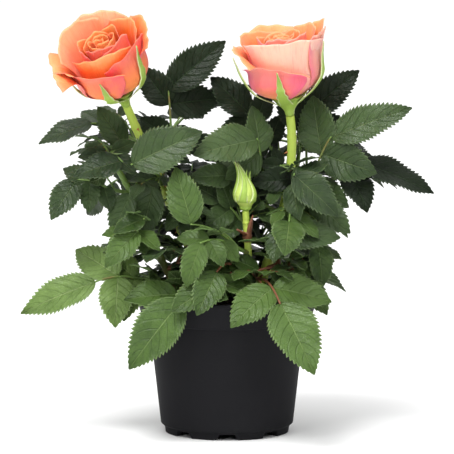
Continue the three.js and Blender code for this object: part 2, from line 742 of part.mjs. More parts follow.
/** The leaves of a spray, fanned out about its side shoot by the seeded rule. */
function sprayLeaves(spray, random) {
  const between = ([low, high]) => low + (high - low) * random();
  const leaves = [];
  for (let i = 0; i < spray.leaves; i++) {
    const share = i / (spray.leaves - 1) - 0.5;
    const bearing = spray.shoot[0] + spray.fan * share + sprayed.sway * (random() - 0.5);
    const rise = between(spray.rise);
    const reach = [bearing, rise, between(sprayed.reach)];
    const turned = bearing + 2 * sprayed.sway * (random() - 0.5);
    const blade = [turned, rise - between(sprayed.droop), between(sprayed.blade)];
    const faces = [spray.look ?? bearing, between(sprayed.tilt)];
    const along = i % 2 ? sprayed.low : 1;
    leaves.push({ along, reach, blade, faces, pairs: spray.pairs, plain: true });
  }
  return leaves;
}

/** The middle line of a mass's side shoot, its foot clear of the cane. */
function shootLine(mass) {
  const cane = canes[mass.cane];
  const line = caneLine(cane);
  const along = heading(mass.shoot[0], mass.shoot[1]);
  const start = line(mass.up);
  const rising = line(Math.min(1, mass.up + nudge)).sub(line(mass.up - nudge)).normalize();
  const lean = along.dot(rising);
  if (mass.up === 1) {
    start.addScaledVector(rising, gap + shoot.foot * Math.sqrt(1 - lean * lean));
  } else {
    const aside = along.clone().addScaledVector(rising, -lean).normalize();
    start.addScaledVector(aside, caneRadius(cane, mass.up) + gap + shoot.foot * Math.abs(lean));
  }
  return (t) => start.clone().addScaledVector(along, mass.shoot[2] * t);
}

/** The middle line of a leaf's stalk, arched a little upward. */
function stalkLine(mass, leaf) {
  const from = shootLine(mass)(leaf.along);
  const [bearing, rise, length] = leaf.reach;
  const run = heading(bearing, rise).multiplyScalar(length);
  const lift = 4 * stalk.arch * length;
  return (t) => from.clone().addScaledVector(run, t).addScaledVector(up, lift * t * (1 - t));
}

/** The leaflets of a leaf as the rule lays them: the end one, then the pairs. */
function leafletsOf(mass, leaf, random) {
  const line = stalkLine(mass, leaf);
  const ending = line(1).sub(line(1 - stalk.last)).normalize();
  const blade = heading(leaf.blade[0], leaf.blade[1]);
  const size = leaf.blade[2];
  const facing = heading(leaf.faces[0], 90 - leaf.faces[1]);
  const end = line(1).addScaledVector(ending, -stalk.sunk);
  const { plain, half } = leaf;
  const leaflets = [{ base: end, along: blade, facing, length: size, plain, half }];
  const spine = ending.clone().add(blade);
  if (spine.length() < pair.opposed) spine.copy(blade);
  spine.normalize();
  const level = facing.clone().addScaledVector(spine, -facing.dot(spine)).normalize();
  for (let k = 0; k < leaf.pairs; k++) {
    const back = Math.min(pair.back[k] * size, pair.most[k] * leaf.reach[2]);
    const base = line(1 - back / leaf.reach[2]);
    for (const side of [1, -1]) {
      const spread = pair.spread[k] + pair.spreadSway * (random() - 0.5);
      const along = spine.clone().applyAxisAngle(level, side * spread * degrees);
      const length = size * pair.length[k] * (1 + pair.lengthSway * (random() - 0.5));
      leaflets.push({ base, along, facing: level, length, plain });
    }
  }
  return leaflets;
}

/** A leaflet as a thin folded and bent blade, bent aside and grown as asked. */
function leafletSolid(leaflet, [down, round], grown) {
  const { base, length } = leaflet;
  const l = leafShape;
  let along = leaflet.along.clone();
  const top = leaflet.facing.clone().addScaledVector(along, -leaflet.facing.dot(along)).normalize();
  along.applyAxisAngle(top, round * degrees);
  const over = top.clone().cross(along);
  along.applyAxisAngle(over, down * degrees);
  top.applyAxisAngle(over, down * degrees);
  const thick = Math.max(l.thick, l.thickShare * length) / 2;
  const halfWidth = leaflet.half ?? l.halfWidth;
  const stations = leaflet.plain ? l.plainStations : l.stations;
  const rings = stations.map((v) => {
    const ends = v === 0 || v === 1 ? 0 : 1;
    const width = l.widthScale * v ** l.basePower * (1 - v) ** l.tipPower;
    const half = halfWidth * length * width + grown;
    const reach = length * v + (v === 1 ? grown : 0);
    const middle = base.clone().addScaledVector(along, reach);
    middle.addScaledVector(top, -l.bend * length * v * v);
    const corner = (side, face) =>
      middle
        .clone()
        .addScaledVector(over, side * half)
        .addScaledVector(top, l.fold * half * Math.abs(side) + face * (ends * thick + grown));
    return [corner(1, 0), corner(0, 1), corner(-1, 0), corner(0, -1)];
  });
  return solidOf(skin(rings));
}

/** The one body of a solid, without scraps or sealed hollows. */
function whole(solid) {
  return solid.decompose().reduce((most, one) => (one.volume() > most.volume() ? one : most));
}

/** A mass as it grows: its shoot and leaf stalks now, its leaflets later. A leaf
 * whose stalk would touch something is left out. */
function growth(mass, random, standing) {
  const line = shootLine(mass);
  const taper = (t) => THREE.MathUtils.lerp(shoot.foot, shoot.end, t);
  const wood = [solidOf(limb(line, taper, shoot.sides, 1))];
  const leaflets = [];
  for (const leaf of mass.leaves) {
    const along = stalkLine(mass, leaf);
    const radius = (t) => THREE.MathUtils.lerp(stalk.foot, stalk.end, t);
    const solid = solidOf(limb(along, radius, stalk.sides, stalk.steps));
    const swollen = solidOf(limb(along, (t) => radius(t) + clearance, stalk.sides, stalk.steps));
    const own = leafletsOf(mass, leaf, random);
    if (meets(swollen, standing)) continue;
    wood.push(solid);
    leaflets.push(...own);
  }
  const stand = joined(wood);
  standing.push(stand);
  return { name: mass.name, wood: stand, leaflets, placed: [] };
}

/** Sets every leaflet in free space, bent aside where it must be. */
function setLeaflets(growths, fixed) {
  const blocked = (trial, own) =>
    meets(trial, fixed) ||
    growths.some((other) => other !== own && meets(trial, [other.wood, ...other.placed]));
  for (const own of growths) {
    for (const leaflet of own.leaflets) {
      for (const bend of bends) {
        const solid = leafletSolid(leaflet, bend, 0);
        if (solid.boundingBox().max[1] > crownBack) continue;
        if (own.placed.some((other) => sharedVolume(solid, other) > shared)) continue;
        if (blocked(leafletSolid(leaflet, bend, clearance), own)) continue;
        own.placed.push(solid);
        break;
      }
    }
  }
}

// --------------------------------------------------------------------- assembly
const plant = new THREE.Group();
plant.add(potMesh(), soilMesh(), budMesh());
for (const [name, cane] of Object.entries(canes)) plant.add(caneMesh(name, cane));
for (const [name, bloom] of Object.entries(blooms)) {
  const axis = heading(...canes[name].arrive);
  const flower = new THREE.Group();
  flower.position.set(...canes[name].head).addScaledVector(axis, hip.height + 2 * gap);
  flower.quaternion.setFromUnitVectors(up, axis);
  flower.add(part("bloom_" + name, geometryOf(bloomSolid(bloom)), colour.petal));
  flower.add(part("calyx_" + name, geometryOf(calyxSolid(bloom)), colour.calyx));
  plant.add(flower);
}

plant.updateMatrixWorld(true);
const fixed = [];
plant.traverse((node) => {
  if (!node.isMesh) return;
  const shape = node.geometry.clone().applyMatrix4(node.matrixWorld);
  fixed.push(manifoldOf(shape.attributes.position.array, shape.index.array));
});

const random = seeded(7);
const standing = [...fixed];
const growths = [
  ...masses.map((mass) => growth(mass, random, standing)),
  ...sprays.map((spray) => growth({ ...spray, leaves: sprayLeaves(spray, random) }, random, standing)),
];
setLeaflets(growths, fixed);
for (const grown of growths) {
  const solid = whole(joined([grown.wood, ...grown.placed]));
  plant.add(part("leaves_" + grown.name, geometryOf(solid), colour.leaf));
}

export default plant;
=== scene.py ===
import math

import bpy
import numpy as np
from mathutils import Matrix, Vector, noise
from mathutils.bvhtree import BVHTree


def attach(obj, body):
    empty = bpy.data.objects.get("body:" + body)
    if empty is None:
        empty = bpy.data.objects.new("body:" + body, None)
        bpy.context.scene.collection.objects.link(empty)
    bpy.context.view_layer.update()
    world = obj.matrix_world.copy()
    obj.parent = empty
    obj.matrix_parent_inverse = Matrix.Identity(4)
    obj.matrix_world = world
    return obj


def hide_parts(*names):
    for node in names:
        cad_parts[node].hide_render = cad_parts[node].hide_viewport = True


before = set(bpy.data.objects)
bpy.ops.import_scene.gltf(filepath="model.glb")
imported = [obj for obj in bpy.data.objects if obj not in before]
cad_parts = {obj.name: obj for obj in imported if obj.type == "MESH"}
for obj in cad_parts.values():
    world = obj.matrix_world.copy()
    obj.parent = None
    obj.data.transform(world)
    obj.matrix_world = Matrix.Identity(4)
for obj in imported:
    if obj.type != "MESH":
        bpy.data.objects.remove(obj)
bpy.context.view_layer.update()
mm = 0.001  # everything below is laid out in millimetres
rad = math.pi / 180
print("frame loaded,", len(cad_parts), "nodes")


# small sums
def lerp(a, b, t):
    return a + (b - a) * t


def ease(low, high, x):
    t = np.clip((np.asarray(x, float) - low) / (high - low), 0, 1)
    return t * t * (3 - 2 * t)


def unit(v):
    return v / np.linalg.norm(v)


def smoothed(values, reach):
    # each value becomes the mean of its neighbours up to reach places away
    width = 2 * reach + 1
    return np.convolve(np.pad(values, reach, mode="edge"), np.ones(width) / width, "valid")


def heading(bearing, rise=0):
    level = math.cos(rise * rad)
    return np.array([level * math.cos(bearing * rad), level * math.sin(bearing * rad), math.sin(rise * rad)])


def turned(v, axis, angle):
    c, s = math.cos(angle * rad), math.sin(angle * rad)
    return v * c + np.cross(axis, v) * s + axis * np.dot(axis, v) * (1 - c)


def seeded(seed):
    state = [seed]

    def draw():
        state[0] = (state[0] * 1664525 + 1013904223) % 4294967296
        return state[0] / 4294967296

    return draw


def between(ends, draw):
    return lerp(*ends, draw())


def swayed(value, sway, draw):
    return value + sway * (draw() - 0.5)


def noiseAt(p, scale, seed=0.0):
    return noise.noise(Vector((p[0] * scale + seed, p[1] * scale - seed, p[2] * scale)))


upward = np.array([0.0, 0.0, 1.0])


# meshes: a heap gathers shells and tubes, and becomes one object
def newHeap():
    return {"points": [], "faces": [], "map": [], "tone": [], "finish": [], "count": 0}


def addTo(heap, points, faces, uv=None, tone=0.5, finish=0):
    points = np.asarray(points, float).reshape(-1, 3)
    n = len(points)
    heap["points"].append(points)
    heap["faces"].extend([[i + heap["count"] for i in face] for face in faces])
    heap["map"].append(np.zeros((n, 2)) if uv is None else np.asarray(uv, float).reshape(-1, 2))
    heap["tone"].append(np.full(n, tone))
    heap["finish"].extend(finish if isinstance(finish, list) else [finish] * len(faces))
    heap["count"] += n


def link(thing):
    bpy.context.scene.collection.objects.link(thing)
    return thing


def build(heap, name, materials):
    mesh = bpy.data.meshes.new(name)
    mesh.from_pydata((np.concatenate(heap["points"]) * mm).tolist(), [], heap["faces"])
    corners = np.zeros(len(mesh.loops), int)
    mesh.loops.foreach_get("vertex_index", corners)
    layer = mesh.uv_layers.new(name="growth")
    layer.data.foreach_set("uv", np.concatenate(heap["map"])[corners].ravel())
    tone = mesh.attributes.new("tone", "FLOAT", "POINT")
    tone.data.foreach_set("value", np.concatenate(heap["tone"]))
    for material in materials:
        mesh.materials.append(material)
    mesh.polygons.foreach_set("material_index", heap["finish"])
    mesh.polygons.foreach_set("use_smooth", [True] * len(mesh.polygons))
    mesh.update()
    return link(bpy.data.objects.new(name, mesh))


def place(piece, node):
    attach(piece, "root")
    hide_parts(node)


def stripMap(u, t):
    # u runs from -1 to 1 across a part and t from 0 to 1 along it
    return np.stack(np.broadcast_arrays((u + 1) / 2, t), -1).reshape(-1, 2)


def raised(base, over, out, across, height):
    # a grid of points that lie off base, by across along over and by height along out
    return base + over * across[..., None] + out * height[..., None]


def shell(heap, upper, lower, uv=None, tone=0.5, finish=(0, 0)):
    # two grids of points, rows then columns, closed round their edge
    rows, columns = upper.shape[:2]
    half = rows * columns
    at = np.arange(half).reshape(rows, columns)
    a, b, c, d = at[:-1, :-1].ravel(), at[1:, :-1].ravel(), at[1:, 1:].ravel(), at[:-1, 1:].ravel()
    faces = np.stack([a, b, c, d], 1).tolist()
    below = (np.stack([d, c, b, a], 1) + half).tolist()
    edge = [*at[:, 0], *at[-1, 1:], *at[-2::-1, -1], *at[0, -2:0:-1]]
    rim = [[q, p, p + half, q + half] for p, q in zip(edge, edge[1:] + edge[:1])]
    uv = uv if uv is not None else np.zeros((half, 2))
    finishes = [finish[0]] * len(faces) + [finish[1]] * (len(below) + len(rim))
    points = np.concatenate([upper.reshape(-1, 3), lower.reshape(-1, 3)])
    addTo(heap, points, faces + below + rim, np.concatenate([uv, uv]), tone, finishes)


def tubeFaces(rings, sides):
    faces = []
    for i in range(rings - 1):
        for j in range(sides):
            a, b = i * sides + j, i * sides + (j + 1) % sides
            faces.append([a, b, b + sides, a + sides])
    ends = [list(range(sides))[::-1], list(range((rings - 1) * sides, rings * sides))]
    return faces + ends


def tube(heap, line, radius, sides, steps, finish=0):
    rings, uv = [], []
    for i in range(steps + 1):
        t = i / steps
        at = line(t)
        along = unit(line(min(1, t + 0.01)) - line(max(0, t - 0.01)))
        side = np.cross([0.0, 1.0, 0.0], along)
        side = unit(side) if np.linalg.norm(side) > 1e-6 else np.array([1.0, 0.0, 0.0])
        over = np.cross(along, side)
        for j in range(sides):
            turn = 2 * math.pi * j / sides
            rings.append(at + radius(t, turn) * (side * math.cos(turn) + over * math.sin(turn)))
            uv.append((j / sides, t))
    addTo(heap, rings, tubeFaces(steps + 1, sides), uv, 0.5, finish)


def rounded(profile, radius, steps=4):
    # the same outline with its inner corners eased
    points = [np.array(p, float) for p in profile]
    eased = [points[0]]
    for before, corner, after in zip(points, points[1:], points[2:]):
        reach = min(radius, 0.45 * np.linalg.norm(corner - before), 0.45 * np.linalg.norm(after - corner))
        start = corner + unit(before - corner) * reach
        end = corner + unit(after - corner) * reach
        for k in range(steps + 1):
            t = k / steps
            eased.append((1 - t) ** 2 * start + 2 * t * (1 - t) * corner + t * t * end)
    return eased + [points[-1]]


def lathe(heap, profile, sides, change=None):
    points, uv = [], []
    for i, (r, z) in enumerate(profile):
        for j in range(sides):
            turn = 2 * math.pi * j / sides
            rj, zj = change(r, z, turn) if change else (r, z)
            points.append((rj * math.cos(turn), rj * math.sin(turn), zj))
            uv.append((j / sides, i / len(profile)))
    addTo(heap, points, tubeFaces(len(profile), sides), uv)


# shader sums: one socket, with the operators that are used
class Shade:
    def __init__(self, tree, socket=None):
        self.tree, self.socket = tree, socket

    def node(self, kind, settings=None, sockets=None, out=0):
        made = self.tree.nodes.new("ShaderNode" + kind)
        for name, value in (settings or {}).items():
            if name == "stops":
                ramp = made.color_ramp
                for k, (position, colour) in enumerate(value):
                    stop = ramp.elements[k] if k < 2 else ramp.elements.new(position)
                    stop.position, stop.color = position, hexColour(colour)
            else:
                setattr(made, name, value)
        for key, value in (sockets or {}).items():
            if isinstance(value, Shade):
                self.tree.links.new(value.socket, made.inputs[key])
            else:
                made.inputs[key].default_value = hexColour(value) if isinstance(value, str) else value
        return None if out is None else Shade(self.tree, made.outputs[out])

    def sum(self, operation, one, other):
        return self.node("Math", {"operation": operation}, {0: one, 1: other})

    def __add__(self, other):
        return self.sum("ADD", self, other)

    def __radd__(self, other):
        return self.sum("ADD", other, self)

    def __sub__(self, other):
        return self.sum("SUBTRACT", self, other)

    def __rsub__(self, other):
        return self.sum("SUBTRACT", other, self)

    def __mul__(self, other):
        return self.sum("MULTIPLY", self, other)

    def __rmul__(self, other):
        return self.sum("MULTIPLY", other, self)


def hexColour(text):
    values = [int(text[i:i + 2], 16) / 255 for i in (1, 3, 5)]
    return (*[v / 12.92 if v <= 0.04045 else ((v + 0.055) / 1.055) ** 2.4 for v in values], 1.0)


def newMaterial(name):
    material = bpy.data.materials.new(name)
    material.use_nodes = True
    material.node_tree.nodes.clear()
    return material, Shade(material.node_tree)


def finishMaterial(shade, sockets):
    surface = shade.node("BsdfPrincipled", {}, sockets)
    shade.node("OutputMaterial", {}, {"Surface": surface}, out=None)


def finishGreen(shade, colour, streaks, height, look):
    # the sappy finish that stems, sepals and the bud share
    finishMaterial(shade, {
        "Base Color": colour,
        "Roughness": look["rough"] + streaks * look["uneven"],
        "Subsurface Weight": look["flesh"],
        "Subsurface Radius": (0.002, 0.003, 0.001),
        "Normal": relief(shade, height, look["depth"], look["relief"]),
    })


def blend(shade, factor, one, other):
    colours = {0: factor, 6: one, 7: other}
    return shade.node("Mix", {"data_type": "RGBA"}, colours, out=2)


def spread(shade, value, low, high, to=(0.0, 1.0)):
    ends = {"Value": value, "From Min": low, "From Max": high, "To Min": to[0], "To Max": to[1]}
    return shade.node("MapRange", {"interpolation_type": "SMOOTHSTEP"}, ends)


def growthMap(shade):
    where = shade.node("UVMap", {"uv_map": "growth"})
    return [shade.node("SeparateXYZ", {}, {0: where}, out=k) for k in ("X", "Y")]


def fromMiddle(shade, across):
    # 0 along a part's middle line and 1 at its edges
    return shade.node("Math", {"operation": "ABSOLUTE"}, {0: across * 2.0 - 1.0})


def mirrored(shade, value):
    # runs from 0 up to a half and back, once for every whole step of the value
    return shade.node("Math", {"operation": "PINGPONG"}, {0: value, 1: 0.5})


def streaked(shade, across, along, scale=2.0):
    return grain(shade, scale, 4.0, shade.node("CombineXYZ", {}, {0: across, 1: along}))


def grain(shade, scale, detail=3.0, where=None, roughness=0.55):
    where = where or shade.node("TexCoord", out="Object")
    settings = {"Vector": where, "Scale": scale, "Detail": detail, "Roughness": roughness}
    return shade.node("TexNoise", {}, settings, out="Fac")


def relief(shade, height, distance, strength):
    return shade.node("Bump", {}, {"Height": height, "Distance": distance, "Strength": strength})


# camera, light and floor
view = {"elevation": 8.7, "distance": 8.0, "lens": 976.0, "aim": 0.134, "farthest": 60}


def aimed(thing, at, outward):
    thing.location = at
    thing.rotation_euler = outward.to_track_quat("Z", "Y").to_euler()
    return link(thing)


def setCamera():
    data = bpy.data.cameras.new("camera")
    data.lens, data.clip_end = view["lens"], view["farthest"]
    outward = Vector(heading(-90, view["elevation"]))
    at = Vector((0, 0, view["aim"])) + outward * view["distance"]
    bpy.context.scene.camera = aimed(bpy.data.objects.new("camera", data), at, outward)


lights = {
    "top": {"at": (-0.4, -0.75, 1.7), "size": 0.85, "watts": 30},
    "left": {"at": (-1.2, -1.9, 0.9), "size": 0.7, "watts": 7},
    "right": {"at": (1.2, -1.8, 1.1), "size": 0.7, "watts": 7},
    "behind": {"at": (0.3, 1.7, 1.3), "size": 1.4, "watts": 5},
}
lampAim = 0.12  # the height that every lamp looks at
floorSettings = {"size": 30.0, "colour": "#f6f6f6", "clean": "#ffffff", "patches": 3.0, "glow": (0.05, 1.32)}


def setWorld():
    # darker toward the horizon, so that the floor fades into white
    world = bpy.data.worlds.new("studio")
    world.use_nodes = True
    shade = Shade(world.node_tree)
    rise = shade.node("SeparateXYZ", {}, {0: shade.node("TexCoord", out="Generated")}, out="Z")
    back = world.node_tree.nodes["Background"]
    back.inputs[0].default_value = hexColour(floorSettings["clean"])
    glow = spread(shade, rise, 0.0, 1.0, floorSettings["glow"])
    world.node_tree.links.new(glow.socket, back.inputs[1])
    bpy.context.scene.world = world
    bpy.context.scene.view_settings.view_transform = "Standard"


def setStage():
    for name, light in lights.items():
        data = bpy.data.lights.new("light_" + name, "AREA")
        data.size, data.energy = light["size"], light["watts"]
        lamp = bpy.data.objects.new("light_" + name, data)
        aimed(lamp, light["at"], Vector(light["at"]) - Vector((0, 0, lampAim)))
    setWorld()
    heap = newHeap()
    s = floorSettings["size"] / 2 / mm
    addTo(heap, [(-s, -s, 0), (s, -s, 0), (s, s, 0), (-s, s, 0)], [[0, 1, 2, 3]])
    material, shade = newMaterial("paleFloor")
    worn = grain(shade, floorSettings["patches"]) * 0.08
    clean = blend(shade, worn, floorSettings["colour"], floorSettings["clean"])
    finishMaterial(shade, {"Base Color": clean, "Roughness": 0.9, "Specular IOR Level": 0.1})
    build(heap, "floor", [material])


setCamera()
setStage()
print("camera, light and floor set")


# pot
pot = {
    "height": 92, "rimRadius": 60, "collarHeight": 17, "collarFoot": 55.2, "shoulder": 51,
    "bodyFoot": 43, "footRadius": 41, "footHeight": 4.4, "footWidth": 5, "wall": 1.6,
    "lip": 2.6, "lipHeight": 2.4, "notches": 8, "notchWidth": 9.6, "notchFlare": 2.6,
    "notchHeight": 3.8, "edge": 0.6, "undercut": 1.4, "middle": 4, "sides": 240, "ease": 0.55,
}
plastic = {"black": "#202022", "dusty": "#2b2b2d", "rough": 0.5, "gloss": 0.02, "depth": 0.00008}


def plasticMaterial():
    material, shade = newMaterial("satinBlackPlastic")
    fine = grain(shade, 900.0, 2.0)
    scuffs = spread(shade, grain(shade, 42.0, 6.0), 0.55, 0.8)
    dust = spread(shade, grain(shade, 16.0, 4.0), 0.5, 0.85)
    finishMaterial(shade, {
        "Base Color": blend(shade, dust * 0.3, plastic["black"], plastic["dusty"]),
        "Roughness": plastic["rough"] + scuffs * 0.12 + fine * 0.05,
        "Specular IOR Level": plastic["gloss"],
        "Normal": relief(shade, fine + scuffs * 0.3, plastic["depth"], 0.5),
    })
    return material


def makePot():
    p = pot
    collar = p["height"] - p["collarHeight"]
    shelf = collar + p["wall"]
    inner = p["footRadius"] - p["footWidth"]
    top, lip = p["height"], p["height"] - p["lipHeight"]
    profile = [
        (p["middle"], p["footHeight"]), (inner, p["footHeight"]),
        (inner, 0), (p["footRadius"] - p["edge"], 0),
        (p["footRadius"], p["footHeight"]), (p["bodyFoot"], p["footHeight"] + p["undercut"]),
        (p["shoulder"], collar - p["edge"]), (p["collarFoot"], collar),
        (p["rimRadius"] - p["edge"], lip), (p["rimRadius"], lip), (p["rimRadius"], top),
        (p["rimRadius"] - p["lip"], top), (p["rimRadius"] - p["lip"], lip),
        (p["collarFoot"] - p["wall"], shelf), (p["shoulder"] - p["wall"], shelf - p["edge"]),
        (p["bodyFoot"] - p["wall"], p["footHeight"] + p["wall"]),
        (p["middle"], p["footHeight"] + p["wall"]),
    ]

    def change(r, z, turn):
        if z > p["footHeight"] + 0.01 or r < inner - 0.5:
            return r, z
        pitch = 2 * math.pi / p["notches"]
        off = abs((turn + math.pi / 2 + pitch / 2) % pitch - pitch / 2) * p["footRadius"]
        opened = 1 - ease(p["notchWidth"] / 2, p["notchWidth"] / 2 + p["notchFlare"], off)
        return r, max(z, p["notchHeight"] * float(opened))

    heap = newHeap()
    lathe(heap, rounded(profile, p["ease"], 3), p["sides"], change)
    place(build(heap, "growerPot", [plasticMaterial()]), "pot")


makePot()
print("pot made")


# soil
soil = {
    "top": 80, "radius": 52.6, "depth": 12, "sides": 144, "rings": 46, "relief": 0.825, "sunk": 0.9,
    "edge": (44, 53), "crumbs": 420, "crumb": (0.5, 1.5),
}
compost = {"dark": "#1d120b", "light": "#4a3020", "fibre": "#5b2f1c", "depth": 0.0011}


def soilMaterial():
    material, shade = newMaterial("pottingSoil")
    clods = grain(shade, 260.0, 6.0, roughness=0.7)
    fibres = spread(shade, grain(shade, 90.0, 5.0), 0.52, 0.66)
    brown = blend(shade, clods, compost["dark"], compost["light"])
    finishMaterial(shade, {
        "Base Color": blend(shade, fibres * 0.6, brown, compost["fibre"]),
        "Roughness": 0.86 + clods * 0.12,
        "Normal": relief(shade, clods + fibres * 0.4, compost["depth"], 0.9),
    })
    return material


def makeSoil():
    heap = newHeap()
    draw = seeded(31)

    def surface(x, y):
        lumps = noiseAt((x, y, 3), 0.09) + 0.55 * noiseAt((x, y, 9), 0.26) + 0.3 * noiseAt((x, y, 5), 0.7)
        sunk = soil["sunk"] * (1 + float(ease(*soil["edge"], math.hypot(x, y))))
        return soil["top"] - sunk + soil["relief"] * lumps

    rows = [(soil["radius"] - 4.5, soil["top"] - soil["depth"])]
    rows += [(soil["radius"] - 3.6, soil["top"] - 3.6)]
    rows += [(soil["radius"] * (1 - k / soil["rings"]) + 0.4, None) for k in range(soil["rings"])]

    def change(r, z, turn):
        if z is not None:
            return r, z
        return r, surface(r * math.cos(turn), r * math.sin(turn))

    lathe(heap, rows, soil["sides"], change)
    crumb = icosahedron()
    for _ in range(soil["crumbs"]):
        turn, r = 360 * draw(), (soil["radius"] - 3) * math.sqrt(draw())
        x, y = r * math.cos(turn * rad), r * math.sin(turn * rad)
        size = soil["crumb"][0] + soil["crumb"][1] * draw() ** 3
        points = [p * size * (1 + 0.5 * noiseAt(p, 1.3, 7 * draw())) for p in crumb[0]]
        flat = 0.55 + 0.4 * draw()
        points = [(q[0] + x, q[1] + y, q[2] * flat + surface(x, y) + size * 0.25) for q in points]
        addTo(heap, points, crumb[1])
    place(build(heap, "pottingSoil", [soilMaterial()]), "soil")


def icosahedron():
    g = (1 + math.sqrt(5)) / 2
    points = [(-1, g, 0), (1, g, 0), (-1, -g, 0), (1, -g, 0), (0, -1, g), (0, 1, g),
              (0, -1, -g), (0, 1, -g), (g, 0, -1), (g, 0, 1), (-g, 0, -1), (-g, 0, 1)]
    faces = [(0, 11, 5), (0, 5, 1), (0, 1, 7), (0, 7, 10), (0, 10, 11), (1, 5, 9), (5, 11, 4),
             (11, 10, 2), (10, 7, 6), (7, 1, 8), (3, 9, 4), (3, 4, 2), (3, 2, 6), (3, 6, 8),
             (3, 8, 9), (4, 9, 5), (2, 4, 11), (6, 2, 10), (8, 6, 7), (9, 8, 1)]
    points = [unit(np.array(p, float)) for p in points]
    split, small = {}, []

    def middle(a, b):
        key = (min(a, b), max(a, b))
        if key not in split:
            split[key] = len(points)
            points.append(unit(points[a] + points[b]))
        return split[key]

    for a, b, c in faces:
        ab, bc, ca = middle(a, b), middle(b, c), middle(c, a)
        small += [[a, ab, ca], [b, bc, ab], [c, ca, bc], [ab, bc, ca]]
    return points, small


makeSoil()
print("soil made")


# canes: foot and head, the bearing and rise there, and the radius at both
def caneRow(foot, head, leave, arrive, thick):
    return {"foot": foot, "head": head, "leave": leave, "arrive": arrive, "thick": thick}


canes = {
    "left": caneRow((-10, 4), (-65, -8, 214.5), (175, 72), (229, 60), (3.4, 2.8)),
    "right": caneRow((16, 2), (41, 0, 207), (0, 70), (206, 82), (3.6, 2.9)),
    "bud": caneRow((14, -15), (12, -22, 148), (320, 86), (180, 86), (3, 2.5)),
    "low_left": caneRow((-22, -6), (-72, -14, 176), (190, 50), (190, 58), (2.8, 1.9)),
    "low_right": caneRow((28, -4), (64, 2, 163), (5, 52), (355, 45), (2.6, 1.8)),
    "back_left": caneRow((-10, 24), (-36, 46, 178), (120, 70), (130, 75), (2.9, 1.9)),
    "back_right": caneRow((16, 24), (46, 44, 170), (60, 68), (50, 70), (2.9, 1.9)),
}
caneDetail = {
    "gap": 0.3, "flare": 0.9, "flareReach": 7, "sides": 20, "steps": 110, "rib": 0.07,
    "nodeEvery": 0.13, "nodeRise": 0.55, "nodeWidth": 0.009, "slim": 0.97, "budSlim": 0.86,
    "thornEvery": 13, "thornSize": (1.5, 2.4), "thornSunk": 0.93, "bareFrom": 0.62,
}
prickle = {"foot": 0.42, "reach": 1.25, "hook": 0.55, "sides": 7, "steps": 5}


def caneLine(cane):
    foot = np.array([*cane["foot"], soil["top"] + caneDetail["gap"]], float)
    head = np.array(cane["head"], float)
    third = np.linalg.norm(head - foot) / 3
    rising = foot + heading(*cane["leave"]) * third
    nearing = head - heading(*cane["arrive"]) * third

    def line(t):
        m = 1 - t
        return m ** 3 * foot + 3 * m * m * t * rising + 3 * m * t * t * nearing + t ** 3 * head

    return line


def caneRadius(cane, t):
    foot, head = cane["thick"]
    height = t * (cane["head"][2] - soil["top"])
    return lerp(foot, head, t) + caneDetail["flare"] * max(0, 1 - height / caneDetail["flareReach"]) ** 2


def stemMaterial(name, young, old, ages, blush):
    # ages: the heights in metres between which bark turns to young green
    material, shade = newMaterial(name)
    where = shade.node("TexCoord", out="Object")
    height = shade.node("SeparateXYZ", {}, {0: where}, out="Z")
    around, along = growthMap(shade)
    streaks = streaked(shade, around * 9.0, along * 3.0, 3.0)
    patches = grain(shade, 70.0, 3.0, where)
    colour = blend(shade, spread(shade, height + patches * 0.03, *ages),
                   blend(shade, streaks, *old), blend(shade, streaks * 0.7, *young))
    colour = blend(shade, spread(shade, patches, 0.52, 0.72) * blush, colour, "#7d4630")
    finishGreen(shade, colour, streaks, streaks + patches * 0.4, sappy["stem"])
    return material


sappy = {
    "stem": {"rough": 0.42, "uneven": 0.14, "flesh": 0.05, "depth": 0.00025, "relief": 0.7},
    "sepal": {"rough": 0.5, "uneven": 0.15, "flesh": 0.08, "depth": 0.0003, "relief": 0.6},
    "bud": {"rough": 0.46, "uneven": 0.14, "flesh": 0.08, "depth": 0.0003, "relief": 0.6},
}
stems = {
    name: stemMaterial(*row) for name, row in {
        "cane": ("youngCane", ("#b0ca4a", "#cade66"), ("#6a662c", "#86843c"), (0.09, 0.125), 0.15),
        "shade": ("shadedCane", ("#5f7f33", "#789444"), ("#4f4a28", "#6d6434"), (0.10, 0.16), 0.5),
        "stalk": ("leafStalk", ("#5a7832", "#728f44"), ("#6d4a32", "#7f5c3c"), (0.05, 0.09), 0.55),
        "reddish": ("reddishStalk", ("#74462f", "#8d5a3e"), ("#6a3a2a", "#7f4c38"), (0.05, 0.09), 0.4),
        "thorn": ("thorn", ("#a4683c", "#b8854a"), ("#7d4a32", "#94603c"), (0.1, 0.2), 0.3),
    }.items()
}


def thorn(heap, at, outward, downward, size, finish):
    # a hooked prickle: wide oval foot, tip drawn down
    p = prickle

    def line(t):
        return at + outward * size * (p["reach"] * t) + downward * size * p["hook"] * t * t

    def radius(t, turn):
        return size * p["foot"] * (1 - t) ** 1.3 + 0.03

    tube(heap, line, radius, p["sides"], p["steps"], finish)


# the joint under the bud, with its scales as bearing, rise, length and half width
budJoint = {
    "at": 0.75, "reach": 0.05, "swell": 0.55, "sunk": 0.4, "finish": 2,
    "scales": [(222, 40, 9, 3.2), (308, 77, 15, 2.6)], "thick": 0.32, "curl": 0.9,
}


